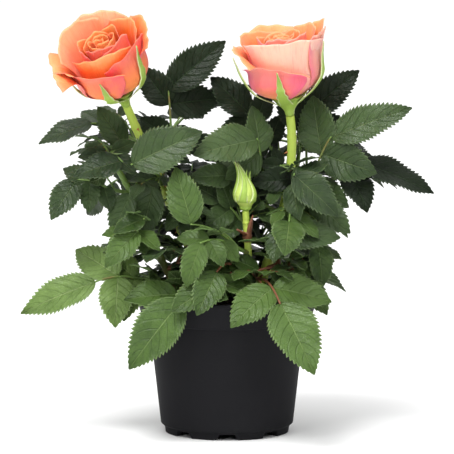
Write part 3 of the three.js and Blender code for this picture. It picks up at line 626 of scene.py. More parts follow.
def scale(heap, foot, way):
    # a narrow pointed scale that stands off the stem
    bearing, rise, length, half = way
    along, over = heading(bearing, rise), heading(bearing + 90)
    t, u = np.linspace(0, 1, 14)[:, None], np.linspace(-1, 1, 6)[None, :]
    wide = half * (1 - t ** 2) * (0.6 + 1.2 * t * (1 - t)) + 0.1
    spine, out = foot + along * (length * t)[..., None], np.cross(along, over)
    grids = [raised(spine, over, out, wide * u, lift + 0.3 * half * u * u - budJoint["curl"] * t * t)
             for lift in (budJoint["thick"], 0.0)]
    shell(heap, *grids, stripMap(u, t), finish=(budJoint["finish"],) * 2)


def makeJoint(heap, cane, line):
    j = budJoint
    thick = caneRadius(cane, j["at"])

    def ring(t, turn):
        return thick - 0.1 + j["swell"] * math.sin(math.pi * t) ** 0.7 + 0.1 * math.sin(3 * turn)

    tube(heap, lambda t: line(j["at"] + j["reach"] * (t - 0.5) * 2), ring, 24, 14, j["finish"])
    for way in j["scales"]:
        scale(heap, line(j["at"]) + heading(way[0]) * (thick - j["sunk"]), way)


def makeCane(name, cane):
    c, line, draw = caneDetail, caneLine(cane), seeded(50 + len(name) + int(cane["head"][2]))
    heap, offset, isBud = newHeap(), draw() * caneDetail["nodeEvery"], name == "bud"
    slim = c["budSlim" if isBud else "slim"]  # drawn in a little, for the swellings to stay in reach

    def radius(t, turn):
        near = abs((t - offset) % c["nodeEvery"] - c["nodeEvery"] / 2)
        swelling = c["nodeRise"] * math.exp(-((near / c["nodeWidth"]) ** 2)) * (0.06 < t < 0.94)
        uneven = swelling * (0.6 + 0.4 * math.cos(turn + 9 * t)) + c["rib"] * math.cos(5 * turn + 2 * t)
        return caneRadius(cane, t) * slim + uneven

    tube(heap, line, radius, c["sides"], c["steps"])
    count = int(np.linalg.norm(line(1) - line(0)) / c["thornEvery"])
    for k in range(count):
        t = 0.06 + 0.86 * (k + draw()) / count
        if isBud and t > c["bareFrom"]:
            continue
        along = unit(line(t + 0.01) - line(t - 0.01))
        outward = unit(np.cross(along, heading(360 * draw(), 10 * draw())))
        at = line(t) + outward * (caneRadius(cane, t) * c["thornSunk"])
        thorn(heap, at, outward, -along, between(c["thornSize"], draw), 1)
    if isBud:
        makeJoint(heap, cane, line)
    bark = stems["cane" if name in ("left", "right", "bud") else "shade"]
    piece = build(heap, "cane_" + name + "_bark", [bark, stems["thorn"], stems["reddish"]])
    place(piece, "cane_" + name)


for caneName, ownCane in canes.items():
    makeCane(caneName, ownCane)
print("canes made")


# blooms: at is where a petal stands, belly how far out it swells, tall its height
# and half its half width in degrees; its upper part leans, its rim rolls out and drops
bloomShape = {
    "start": 0.04, "swell": 0.55, "swellPower": 2.4, "rise": 1.12, "rimFrom": 0.66,
    "corner": 0.5, "tuck": 0.9, "goldenTurn": 137.5, "rows": 28, "columns": 39, "thick": 0.36,
    "ripple": 0.62, "crease": 0.25, "creaseWidth": 0.09, "grown": 18, "tipWidth": 0.26,
    "ripples": ((5.2, 1, 0, 1), (9.1, -1.7, 3, 0.6), (17, 3, 0, 0.4)),
    "rimWaves": ((3.1, 2, 0, 0.8), (13, 1, 0, 0.35)),
}
# slant lifts one side of a rim, low and high pull its two corners (out, up), and tip
# is where its point is and how far it stands up
plainPetal = {"round": 0.12, "slant": 0, "low": (0, 0), "high": (0, 0), "tip": (0.1, 1.2), "both": 0}
heart = {
    "petals": 11, "belly": (2.2, 17.5), "tall": (42, 43), "half": (112, 58), "close": 0.2,
    "core": ((5.6, 1.2), (1.6, 36)),
}


def petalRow(at, belly, tall, half, lean, roll, drop, tone, **more):
    own = {"at": at, "belly": belly, "tall": tall, "half": half, "lean": lean, "roll": roll, "drop": drop}
    return {**plainPetal, **own, "tone": tone, **more}


blooms = {
    "left": {
        "petals": [
            petalRow(264, 21, 43, 64, 0, 2, 1, 0.45, round=0.09, tip=(0.3, 1.5), both=1),
            petalRow(28, 20.5, 43, 56, 2, 3, 1, 0.3, round=0.05, low=(1, -2), high=(1.5, 0), both=1),
            petalRow(146, 21, 48, 60, 3, 2, 0, 0.8, round=0.06, high=(4, -2), tip=(-0.4, 1)),
            petalRow(238, 24, 38, 52, 2, 4, 4, 0.2, round=0.05, slant=-4, low=(8, -4), tip=(-0.35, 2)),
            petalRow(312, 24, 41, 47, 0, 3, 2, 0.15, slant=3, tip=(-0.5, 1)),
            petalRow(10, 24, 41, 42, 3, 5, 2, 0.1, round=0.03, low=(2, -1), high=(1, 0), tip=(0.5, 1)),
            petalRow(90, 24, 48, 50, 2, 4, 2, 0.95, round=0.1, tip=(0.3, 1.5)),
            petalRow(188, 24.5, 39, 34, 4, 8, 5, 0.5, round=0.01, low=(1, 3), high=(2, -2), tip=(-0.9, 1)),
        ],
        "sepals": [(322, 40), (34, 26), (106, 30), (186, 20), (256, 27)],
    },
    "right": {
        "petals": [
            petalRow(279, 22.4, 44, 68, 3, 2, 1, 0.95,
                     round=0.05, low=(2.5, 3), high=(1, -1), tip=(-0.1, -1.5)),
            petalRow(35, 20.5, 46, 58, 1, 3, 1, 0.6),
            petalRow(150, 21, 45, 60, 1, 3, 1, 0.5, round=0.07, high=(2, -2), tip=(0.4, 1.5)),
            petalRow(248, 25.6, 31, 54, 0, 4, 5, 0.12, round=0.08, slant=-2, high=(2, -3), tip=(-0.2, 1.5)),
            petalRow(343, 25.4, 46, 30, 1, 3, 1, 0.6, round=0.06),
            petalRow(18, 24, 47, 42, 3, 3, 0, 0.9, round=0.16, low=(0, -1), tip=(-0.3, 2.5)),
            petalRow(100, 24, 47, 50, 1, 5, 3, 0.5, tip=(0.3, 1.5)),
            petalRow(190, 23.3, 42, 42, 2.6, 6, 5, 0.6,
                     round=0.05, low=(0, 2), high=(3, -6), tip=(-0.4, 1.5)),
        ],
        "sepals": [(262, 25), (338, 38), (44, 30), (122, 24), (196, 34)],
    },
}


def petalPoint(petal, u, v):
    b, p = bloomShape, petal
    s = np.maximum(0.02, v * (1 - p["round"] * np.abs(u) ** 2.6))
    opened = 1 - np.maximum(0, 1 - s / b["swell"]) ** b["swellPower"]
    upper = np.maximum(0, s - b["swell"]) / (1 - b["swell"])
    rim = np.maximum(0, (s - b["rimFrom"]) / (1 - b["rimFrom"])) ** 2
    curl = rim * (1 + b["corner"] * np.abs(u) ** 3)
    radius = p["belly"] * opened + p["lean"] * upper + p["roll"] * curl + b["tuck"] * u
    height = p["tall"] * s ** b["rise"] - p["drop"] * curl
    angle = (p["at"] + u * p["half"] * (0.5 + 0.5 * np.minimum(1, s / 0.55))) * rad
    return radius, height, angle


def waves(rows, u, v, seed):
    # a row: waves across, how far the seed shifts them, their slant and their height
    return sum(high * np.sin(across * u + shift * seed + slant * v) for across, shift, slant, high in rows)


def petalSheet(petal, u, v, seed):
    # the petal with its soft ripples, its pulled corners and the point of its rim
    b, p = bloomShape, petal
    radius, height, angle = petalPoint(petal, u, v)
    free = np.clip((v - 0.4) / 0.6, 0, 1) ** 2
    grow = min(1.0, p["belly"] / b["grown"])
    radius = radius + b["ripple"] * free * waves(b["ripples"], u, v, seed) * grow
    radius = radius - b["crease"] * free * np.exp(-(u / b["creaseWidth"]) ** 2)
    height = height + grow * free * waves(b["rimWaves"], u, v, seed) + p["slant"] * u * free
    for side, (out, lift) in ((-1, p["low"]), (1, p["high"])):
        pull = free * np.clip(side * u, 0, 1) ** 2.5
        radius, height = radius + out * pull, height + lift * pull
    point = free * np.exp(-np.abs((u - p["tip"][0]) / b["tipWidth"]) ** 1.3)
    radius, height = radius + 0.4 * abs(p["tip"][1]) * point, height + p["tip"][1] * point
    return np.stack([radius * np.cos(angle), radius * np.sin(angle), height], -1)


def petalShell(heap, petal, seed):
    b = bloomShape
    v = b["start"] + (1 - b["start"]) * (np.linspace(0, 1, b["rows"]) ** 0.85)[:, None]
    v, u = np.broadcast_arrays(v, np.linspace(-1, 1, b["columns"])[None, :])
    at, step = petalSheet(petal, u, v, seed), 0.01
    over = petalSheet(petal, u + step, v, seed) - petalSheet(petal, u - step, v, seed)
    rising = petalSheet(petal, u, v + step, seed) - petalSheet(petal, u, v - step, seed)
    out = np.cross(over, rising)  # points away from the bloom's middle
    out = out / np.linalg.norm(out, axis=-1, keepdims=True)
    thick = b["thick"] * (1 - 0.7 * np.maximum(v ** 3, np.abs(u) ** 6))[..., None] / 2
    finish = (0, 0 if petal["both"] else 1)
    shell(heap, at - out * thick, at + out * thick, stripMap(u, v), petal["tone"], finish)


def petalMaterial(name, stops, rimColour, paleColour, deepColour, sideColour):
    material, shade = newMaterial(name)
    across, along = growthMap(shade)
    tone = shade.node("Attribute", {"attribute_name": "tone"}, out="Fac")
    side = fromMiddle(shade, across)
    fan = shade.node("CombineXYZ", {}, {0: (across - 0.5) * 26.0, 1: along * 1.6, 2: tone * 9.0})
    veins = grain(shade, 2.4, 5.0, fan, 0.65)
    cloud = grain(shade, 60.0, 4.0)
    uneven = along + (cloud - 0.5) * 0.34 + (veins - 0.5) * 0.1
    colour = shade.node("ValToRGB", {"stops": stops}, {0: uneven})
    pale = spread(shade, tone, 0.25, 0.95) * spread(shade, along + (cloud - 0.5) * 0.9, 0.1, 0.6)
    colour = blend(shade, pale * 0.85, colour, paleColour)
    flush = spread(shade, side * 0.7 + cloud * 0.9, 0.7, 1.1)
    colour = blend(shade, flush * (0.95 - tone * 0.6), colour, sideColour)
    colour = blend(shade, spread(shade, veins, 0.5, 0.75) * 0.3, colour, deepColour)
    rim = spread(shade, along + side * side * 0.03, 0.965, 1.02)
    finishMaterial(shade, {
        "Base Color": blend(shade, rim * 0.26, colour, rimColour),
        "Roughness": 0.46 + veins * 0.16,
        "Specular IOR Level": 0.28,
        "Subsurface Weight": 0.2,
        "Subsurface Radius": (0.004, 0.0011, 0.0005),
        "Subsurface Scale": 1.0,
        "Sheen Weight": 0.1,
        "Normal": relief(shade, veins + cloud * 0.6, 0.0005, 0.6),
    })
    return material


# stops run from a petal's foot to its rim; then its rim, pale, deep and side colours
# painted shade: the inside stops darken toward the foot, partly the petal's own deeper orange and partly the
# shade in the folds of the bloom
petalLooks = {
    "petalInsideWarm": ([(0.0, "#d8480a"), (0.5, "#f2640c"), (0.78, "#fa7c26"), (1.0, "#fb9c62")],
                        "#fdb490", "#f9a684", "#dc3c0c", "#f5683c"),
    "petalOutsideCoral": ([(0.0, "#e8a848"), (0.22, "#fa8e40"), (0.55, "#f97e4c"), (1.0, "#f3746e")],
                          "#fdb49c", "#f8a07c", "#dc3a34", "#ea5c6c"),
    "petalInsidePeach": ([(0.0, "#dc5a0c"), (0.5, "#f2640e"), (0.78, "#f78236"), (1.0, "#f9a272")],
                         "#fcbc98", "#f89e6c", "#e04c14", "#f4744c"),
    "petalOutsideBlush": ([(0.0, "#e8b858"), (0.2, "#f8985a"), (0.5, "#f06e70"), (1.0, "#f69488")],
                          "#fee6d6", "#fcc8b0", "#dc4a50", "#ec6484"),
}
petalMaterials = [petalMaterial(name, *look) for name, look in petalLooks.items()]
petalFinish = {"left": petalMaterials[:2], "right": petalMaterials[2:]}


def flowerFrame(name):
    axis = heading(*canes[name]["arrive"])
    at = np.array(canes[name]["head"], float) + axis * (hip["height"] + 2 * caneDetail["gap"])
    spin = Vector((0, 0, 1)).rotation_difference(Vector(axis)).to_matrix()
    return np.array(spin), at


def toFlower(heap, name):
    spin, at = flowerFrame(name)
    heap["points"] = [points @ spin.T + at for points in heap["points"]]


hip = {"height": 10, "top": 8.4, "outline": [(0, 0.34), (0.35, 0.39), (0.62, 0.62), (0.86, 0.93), (1, 1)]}
sepal = {
    "foot": -1.6, "clear": 1.3, "thick": 0.675, "half": (4.4, 3.8, 0.5), "near": 16,
    "rows": 26, "columns": 8,
}


def heartPetals():
    petals = []
    for k in range(heart["petals"]):
        share = k / (heart["petals"] - 1)
        belly, tall, half = [lerp(*heart[key], share) for key in ("belly", "tall", "half")]
        lean, roll = -heart["close"] * belly, 0.4 + 1.8 * share
        more = {"round": 0.1, "tip": (0.5 * math.sin(9 * k), 1 + share), "both": share < 0.7}
        petals.append(petalRow(20 + k * bloomShape["goldenTurn"], belly, tall, half, lean, roll,
                               0.6 * share, 0.1 + 0.2 * share, **more))
    return petals


def makeBloom(name, bloom):
    heap, draw = newHeap(), seeded(11 + len(name))
    for petal in [*heartPetals(), *bloom["petals"]]:
        petalShell(heap, petal, 6 * draw())
    turns = np.linspace(0, 2 * math.pi, 24, False)
    core = [(r * math.cos(k), r * math.sin(k), z) for r, z in heart["core"] for k in turns]
    addTo(heap, core, tubeFaces(2, 24), tone=0.2)
    toFlower(heap, name)
    place(build(heap, "petals_" + name, petalFinish[name]), "bloom_" + name)


def reachOf(bloom):
    # how far out the petals reach near a bearing, at a height
    u, v = np.meshgrid(np.arange(-1, 1.0001, 0.1), np.arange(0.04, 1.0001, 0.04))
    points = []
    for petal in bloom["petals"]:
        radius, height, angle = petalPoint(petal, u, v)
        points.append(np.stack([radius, height, angle / rad], -1).reshape(-1, 3))
    points = np.concatenate(points)

    def reach(bearing, height):
        aside = np.abs((points[:, 2] - bearing + 180) % 360 - 180)
        near = points[(aside <= sepal["near"]) & (np.abs(points[:, 1] - height) <= 2)]
        return float(np.abs(near[:, 0]).max()) if len(near) else 0.0

    return reach


def sepalMaterial():
    material, shade = newMaterial("sepalGreen")
    across, along = growthMap(shade)
    streaks = streaked(shade, across * 20.0, along * 3.0)
    green = blend(shade, streaks, "#86a83e", "#a8c257")
    green = blend(shade, spread(shade, along, 0.35, 1.0) * 0.55, green, "#7d9440")
    edge = spread(shade, fromMiddle(shade, across), 0.72, 0.98)
    finishGreen(shade, blend(shade, edge * 0.75, green, "#d7dfae"), streaks, streaks, sappy["sepal"])
    return material


sepalGreen = sepalMaterial()


def sepalShell(heap, reach, bearing, length, seed):
    steps = 4
    hugs = []
    for k in range(steps + 1):
        height = lerp(sepal["foot"], length, (k / steps) ** 1.15)
        petals = reach(bearing, max(0, height)) + sepal["clear"]
        hugs.append(hip["top"] - 2 if k == 0 else max(petals, hip["top"]))
    base, middle, tip = sepal["half"]
    t = np.linspace(0, 1, sepal["rows"])
    hug = smoothed(np.interp(t, np.linspace(0, 1, steps + 1), hugs), 2)
    height = sepal["foot"] + (length - sepal["foot"]) * t ** 1.15
    half = np.where(t < 0.3, base + (middle - base) * t / 0.3, middle + (tip - middle) * (t - 0.3) / 0.7)
    half = half * (1 + 0.16 * np.sin(34 * t + seed) * ease(0.15, 0.3, t) * (1 - ease(0.6, 0.75, t)))
    half = np.maximum(half * (1 - 0.35 * ease(0.7, 1, t)), 0.25)
    u, t = np.linspace(-1, 1, sepal["columns"])[None, :], t[:, None]
    spine = height[:, None, None] * upward
    grids = []
    for outward in (0.0, sepal["thick"]):
        cup = outward + 0.55 * (1 - ease(0.75, 1, t)) * (1 - u ** 2)
        push = hug[:, None] + cup + 0.8 * ease(0.8, 1, t)
        grids.append(raised(spine, heading(bearing + 90), heading(bearing), half[:, None] * u, push))
    shell(heap, *grids, stripMap(u, t))


def makeCalyx(name, bloom):
    heap, draw = newHeap(), seeded(71 + len(name))
    top, gap = hip["top"], caneDetail["gap"]
    profile = [(r * top, (z - 1) * hip["height"] - gap) for z, r in hip["outline"]]
    lip = [(top + 2.4, 2.1), (top + 1.6, 2.6), (0.6, 2.6)]
    lathe(heap, rounded([(0.6, -hip["height"] - gap), *profile, *lip], 1.6, 5), 40)
    reach = reachOf(bloom)
    for bearing, length in bloom["sepals"]:
        sepalShell(heap, reach, bearing, length, 6 * draw())
    toFlower(heap, name)
    place(build(heap, "calyx_" + name + "_green", [sepalGreen]), "calyx_" + name)


for bloomName, bloomRow in blooms.items():
    makeBloom(bloomName, bloomRow)
    makeCalyx(bloomName, bloomRow)
print("blooms made")


# bud. A wisp is its bearing, where it leaves the bud, its length and how far it stands off
bud = {
    "length": 38, "lean": 11, "toward": 180, "sides": 60, "rows": 90, "seam": 0.1, "twist": 1.5,
    "profile": [(0, 2.2), (0.025, 3.8), (0.08, 4), (0.11, 5), (0.19, 7), (0.28, 7.5), (0.34, 7.1),
                (0.42, 5.9), (0.49, 4.6), (0.58, 3.2), (0.68, 2), (0.8, 0.95), (1, 0.3)],
    "wisps": [(8, 0.5, 7, 0.12), (325, 0.56, 6, 0.2), (50, 0.44, 8, 0.1)],
    "wispCurl": 1.4, "wispThick": 0.6,
    "folds": 5, "foldFrom": 0.15, "foldTurn": 55, "foldHalf": (3.5, 3.15),
}


def budMaterial():
    material, shade = newMaterial("budGreen")
    around, along = growthMap(shade)
    streaks = streaked(shade, around * 24.0, along * 2.0)
    green = blend(shade, streaks, "#a6c04a", "#c6d874")
    green = blend(shade, spread(shade, along, 0.03, 0.14, (0.8, 0.0)), green, "#8fb23e")
    green = blend(shade, spread(shade, along, 0.35, 0.6) * 0.6, green, "#7f9a45")
    seam = mirrored(shade, (around - along * (bud["twist"] / (2 * math.pi))) * 5.0)
    pale = spread(shade, seam, 0.0, 0.09, (1.0, 0.0)) * spread(shade, along, 0.1, 0.16)
    colour = blend(shade, pale * 0.3, green, "#eef0c4")
    colour = blend(shade, spread(shade, along, 0.68, 0.9) * 0.85, colour, "#8f5a38")
    finishGreen(shade, colour, streaks, streaks, sappy["bud"])
    return material


def makeBud():
    heap, b = newHeap(), bud
    foot = np.array(canes["bud"]["head"], float) + upward * caneDetail["gap"]
    even = np.linspace(0, 1, 400)
    plump = smoothed(np.interp(even, *zip(*b["profile"])), 5)

    def line(t):
        return foot + upward * b["length"] * t + heading(b["toward"]) * b["lean"] * t ** 3

    def thick(t):
        return np.interp(t, even, plump)

    def radius(t, turn):
        lobes = abs(math.sin(2.5 * (turn - b["twist"] * t)))
        return thick(t) * (1 - b["seam"] * (1 - lobes) ** 3 * float(ease(0.17, 0.26, t)))

    tube(heap, line, radius, b["sides"], b["rows"])
    t, u = np.linspace(0, 1, 20), np.linspace(-1, 1, 6)[None, :]
    for k in range(b["folds"]):  # the free tips of the sepals, folded round the bud
        turns = (36 + 72 * k + b["foldTurn"] * t) * rad
        out = np.stack([np.cos(turns), np.sin(turns), 0 * t], -1)[:, None]
        over = np.stack([-np.sin(turns), np.cos(turns), 0 * t], -1)[:, None]
        share = b["foldFrom"] + (0.68 + 0.07 * (k % 3)) * t
        push = (thick(share) + 0.3 + 0.4 * ease(0.75, 1, t) * (k % 2))[:, None]
        half = (b["foldHalf"][0] - b["foldHalf"][1] * t ** 0.7)[:, None]
        centre = np.array([line(at) for at in share])[:, None]
        grids = [raised(centre, over, out, half * u, (push + lift) * np.sqrt(1 - 0.28 * u ** 2))
                 for lift in (0.0, 0.4)]
        shell(heap, *grids, stripMap(u, t[:, None]), finish=(1, 1))
    for bearing, start, length, off in b["wisps"]:
        out = heading(bearing)
        at = line(start) + out * (thick(start) - 0.2)
        run = (unit(line(min(1, start + 0.1)) - line(start)) + out * off) * length
        tube(heap, lambda t: at + run * t + out * b["wispCurl"] * t * t,
             lambda t, turn: b["wispThick"] * (1 - t) ** 0.8 + 0.12, 8, 14, 1)
    place(build(heap, "budGreen", [budMaterial(), sepalGreen]), "bud")


makeBud()
print("bud made")


# foliage. A mass is one side shoot, starting at up of its cane; a leaf leaves
# the shoot at along, its stalk runs by reach to where its end leaflet starts, and
# blade is that leaflet. Directions are (bearing, rise, length), and faces is the
# bearing the upper face is turned to and by how much from level.
masses = [
    ("right_low", "bud", 0.34, (300, 8, 12), "fresh", [(1, (289, -16, 39), (306, -45, 54), (275, 55), 1)]),
    ("left_low", "low_left", 0.1, (235, 14, 14), "fresh", [
        (0.8, (280, 6, 38), (193, -49, 56), (262, 60), 1, 0.26),
        (1, (318, 19, 48), (210, -22, 39), (270, 50), 1)]),
    ("front", "bud", 0.6, (235, 28, 12), "fresh", [
        (1, (227, 10, 34), (218, -64, 30), (262, 62), 1),
        (0.6, (207, 28, 40), (143, 70, 39), (265, 70), 0)]),
    ("left_far", "low_left", 0.22, (190, 10, 16), "pale", [
        (1, (194, 0, 33), (182, -19, 53), (265, 50), 2, 0.22)]),
    ("left_mid", "low_left", 0.5, (215, 12, 12), "fresh", [
        (0.7, (270, 22, 26), (211, -38, 32), (262, 55), 1),
        (1, (292, 42, 25), (202, -24, 23), (262, 50), 0)]),
    ("left_upper", "low_left", 0.82, (190, 20, 12), "mid", [
        (1, (176, 14, 22), (225, -42, 32), (262, 60), 1)]),
    ("left_head", "low_left", 1, (200, 60, 9), "mid", [
        (1, (322, -20, 12), (198, -11, 33), (262, 50), 0),
        (0.9, (67, 8, 24), (140, 44, 30), (250, 50), 1)]),
    ("left_top", "left", 0.8, (140, 20, 10), "mid", [
        (1, (183, 20, 26), (190, -14, 37), (250, 35), 1, 0.24)]),
    ("centre", "left", 0.6, (265, 25, 16), "mid", [
        (1, (229, 22, 30), (0, 27, 50), (272, 66), 0),
        (0.8, (250, -15, 14), (240, -60, 36), (270, 60), 0)]),
    ("centre_dark", "right", 0.5, (215, 30, 14), "mid", [(1, (178, 35, 29), (220, -66, 27), (265, 65), 1)]),
    ("right_inner", "right", 0.6, (200, 15, 12), "mid", [(1, (240, 74, 36), (196, -14, 45), (262, 60), 1)]),
    ("right_near", "right", 0.74, (235, 10, 8), "deep", [
        (1, (330, -35, 14), (188, -2, 29), (268, 62), 0),
        (0.8, (120, -20, 14), (170, 5, 24), (268, 60), 1)]),
    ("upper_mid", "right", 0.72, (130, 25, 12), "deep", [(1, (165, 59, 35), (171, 44, 35), (262, 60), 1)]),
    ("right_top", "right", 0.62, (35, 35, 14), "deep", [
        (1, (100, 78, 41), (8, 40, 46), (280, 60), 1, 0.23)]),
    ("right_shoulder", "right", 0.55, (340, 35, 14), "mid", [
        (1, (354, 68, 41), (351, 24, 56), (285, 55), 1, 0.2)]),
    ("right_far", "low_right", 1, (0, 25, 14), "deep", [
        (1, (12, 33, 12), (355, -17, 52), (285, 40), 0, 0.2),
        (0.5, (70, 30, 15), (20, 10, 24), (285, 50), 1)]),
    ("right_mid", "right", 0.42, (290, 12, 14), "mid", [
        (1, (282, 62, 44), (341, -38, 39), (275, 60), 1), (0.6, (266, 2, 30), (356, 0, 38), (275, 57), 1)]),
    ("right_low_back", "low_right", 0.4, (330, 10, 12), "fresh", [
        (1, (286, 37, 18), (291, -67, 28), (290, 60), 1)]),
    ("top_mid", "left", 0.66, (30, 40, 12), "deep", [(1, (108, 79, 44), (10, 41, 49), (275, 60), 1, 0.24)]),
]

# The rest of the crown follows a rule: leaves fanned out about the side shoot. A row
# is name, cane, up, shoot, tint, leaves, fan, rise, pairs and where its faces look.
sprays = [
    ("front_left", "left", 0.2, (255, 25, 12), "mid", 2, 60, (15, 50), 1, None),
    ("front_right", "right", 0.22, (305, 25, 12), "fresh", 2, 60, (20, 55), 1, None),
    ("fill_left", "left", 0.46, (250, 30, 10), "mid", 2, 140, (-10, 40), 1, 268),
    ("fill_mid", "bud", 0.8, (110, 35, 10), "mid", 2, 160, (10, 50), 1, 270),
    ("fill_right", "right", 0.62, (250, 30, 10), "mid", 2, 140, (-20, 30), 1, 272),
    ("fill_low", "low_left", 0.3, (330, 30, 10), "mid", 2, 120, (10, 50), 1, 268),
    ("between", "right", 0.44, (150, 30, 12), "deep", 2, 90, (15, 50), 1, None),
    ("back_low_left", "back_left", 0.12, (140, 15, 14), "mid", 3, 110, (-5, 30), 1, None),
    ("back_low_right", "back_right", 0.12, (80, 15, 14), "mid", 3, 90, (5, 35), 1, None),
    ("back_left_mid", "back_left", 0.45, (125, 20, 14), "deep", 2, 80, (5, 40), 2, None),
    ("back_right_mid", "back_right", 0.5, (68, 20, 14), "deep", 2, 80, (5, 40), 2, None),
    ("back_left_top", "back_left", 1, (120, 75, 10), "deep", 3, 220, (0, 45), 1, None),
    ("back_right_top", "back_right", 1, (60, 72, 10), "deep", 3, 220, (0, 45), 1, None),
    ("side_left", "low_left", 0.35, (118, 15, 12), "mid", 2, 70, (10, 40), 2, None),
    ("side_right", "low_right", 0.25, (88, 15, 12), "mid", 2, 60, (10, 35), 2, None),
    ("inner_left", "left", 0.4, (75, 35, 12), "deep", 2, 140, (25, 60), 1, None),
    ("inner_right", "right", 0.3, (120, 30, 12), "deep", 2, 140, (20, 55), 1, None),
    ("low_mid", "bud", 0.42, (200, 25, 12), "fresh", 2, 120, (0, 40), 2, 268),
    ("left_between", "left", 0.62, (190, 15, 10), "mid", 2, 120, (-20, 30), 1, 262),
    ("low_centre", "left", 0.36, (312, 20, 14), "mid", 2, 100, (-5, 40), 2, 268),
    ("right_between", "right", 0.52, (290, 12, 12), "fresh", 2, 56, (-20, 35), 1, 275),
    ("right_under", "low_right", 0.3, (262, 20, 10), "fresh", 2, 80, (-10, 30), 1, 278),
    ("upper_centre", "right", 0.66, (180, 20, 14), "deep", 2, 120, (-20, 35), 2, 268),
    ("back_mid_left", "back_left", 0.72, (60, 20, 14), "deep", 3, 140, (0, 40), 1, None),
    ("back_mid_right", "back_right", 0.75, (122, 20, 14), "deep", 3, 140, (0, 40), 1, None),
    ("back_low", "back_left", 0.28, (80, 20, 14), "mid", 3, 110, (-5, 35), 1, None),
]
sprayed = {"reach": (20, 36), "blade": (28, 38), "sway": 24, "droop": (10, 40), "tilt": (30, 64), "low": 0.6}
shoot = {"foot": 1.6, "thick": (1.472, 1.105), "sides": 12, "steps": 14}
stalk = {"arch": 0.1, "sunk": 0.9, "thick": (0.98, 0.62), "steps": 22, "bristles": 3, "bristle": 0.7}
pair = {
    "back": (0.3, 0.78), "most": (0.5, 0.82), "length": (0.68, 0.58), "spread": (62, 72),
    "spreadSway": 14, "lengthSway": 0.16,
}
bends = [(0, 0), (14, 0), (-14, 0), (0, 15), (0, -15), (27, 0), (-27, 0)]  # down and round
bends += [(down * a, around * b) for a, b in ((16, 16), (30, 24)) for down in (1, -1) for around in (1, -1)]
leafBend = 0.13  # fall of a leaflet's tip, per length
leafFold = 0.2  # rise of each half from the midrib, per width


def sprayLeaves(spray, draw):
    shootWay, count, fan, rises, pairs, look = spray[3], *spray[5:]
    leaves = []
    for i in range(count):
        share = i / (count - 1) - 0.5
        bearing = swayed(shootWay[0] + fan * share, sprayed["sway"], draw)
        rise = between(rises, draw)
        reach = (bearing, rise, between(sprayed["reach"], draw))
        aside = swayed(bearing, 2 * sprayed["sway"], draw)
        blade = (aside, rise - between(sprayed["droop"], draw), between(sprayed["blade"], draw))
        faces = (bearing if look is None else look, between(sprayed["tilt"], draw))
        leaves.append((sprayed["low"] if i % 2 else 1, reach, blade, faces, pairs))
    return leaves


def shootLine(mass):
    cane, at = canes[mass[1]], mass[2]
    line, along = caneLine(cane), heading(*mass[3][:2])
    start = line(at)
    rising = unit(line(min(1, at + 0.01)) - line(at - 0.01))
    lean = float(np.dot(along, rising))
    if at == 1:
        start = start + rising * (caneDetail["gap"] + shoot["foot"] * math.sqrt(1 - lean * lean))
    else:
        aside = unit(along - rising * lean)
        start = start + aside * (caneRadius(cane, at) + caneDetail["gap"] + shoot["foot"] * abs(lean))
    return lambda t: start + along * mass[3][2] * t


def archedLine(start, bearing, rise, length):
    run, lift = heading(bearing, rise) * length, 4 * stalk["arch"] * length
    return lambda t: start + run * t + upward * lift * t * (1 - t)


def stalkLine(mass, leaf):
    return archedLine(shootLine(mass)(leaf[0]), *leaf[1])


def leafletsOf(mass, leaf, draw):
    line = stalkLine(mass, leaf)
    ending = unit(line(1) - line(0.95))
    blade, size = heading(*leaf[2][:2]), leaf[2][2]
    facing = heading(leaf[3][0], 90 - leaf[3][1])
    half = leaf[5] if len(leaf) > 5 else leafCut["half"]
    leaflets = [(line(1) - ending * stalk["sunk"], blade, facing, size, half)]
    spine = ending + blade
    spine = unit(blade if np.linalg.norm(spine) < 0.8 else spine)
    level = unit(facing - spine * np.dot(facing, spine))
    for k in range(leaf[4]):
        back = min(pair["back"][k] * size, pair["most"][k] * leaf[1][2])
        base = line(1 - back / leaf[1][2])
        for side in (1, -1):
            apart = swayed(pair["spread"][k], pair["spreadSway"], draw)
            along = turned(spine, level, side * apart)
            length = size * pair["length"][k] * swayed(1, pair["lengthSway"], draw)
            leaflets.append((base, along, level, length, leafCut["lateral"]))
    return leaflets


def bentFrame(leaflet, down, around):
    base, along, facing, length, half = leaflet
    top = unit(facing - along * np.dot(facing, along))
    along = turned(along, top, around)
    over = np.cross(top, along)
    return base, turned(along, over, down), over, turned(top, over, down), length, half


def tipOf(way):
    return way[0] + way[1] * way[4] - way[3] * leafBend * way[4]


def standsAs(leaflet, corners):
    # the bend with which the solid's leaflet stands, told by its tip
    for down, around in bends:
        way = bentFrame(leaflet, down, around)
        if np.linalg.norm(corners - tipOf(way), axis=1).min() < 0.06:
            return way
    return None


leafCut = {
    "half": 0.28, "lateral": 0.315, "widest": 2.73, "basePower": 0.58, "tipPower": 0.94,
    "toothPitch": 2.7, "toothDepth": 0.035, "toothLean": 0.3, "toothEdge": 9, "grown": 30,
    "thick": 0.34, "keel": 0.3,
    "veins": 7, "veinLean": 0.16, "veinCurve": 0.13, "groove": 0.62, "wave": 1.1,
    "columns": (0.16, 0.4, 0.66, 0.9, 1), "fewColumns": (0.18, 0.52, 0.88, 1), "small": 34,
    "phases": ((0.0, 0.0), (0.5, 0.66), (0.84, 1.0)),
}


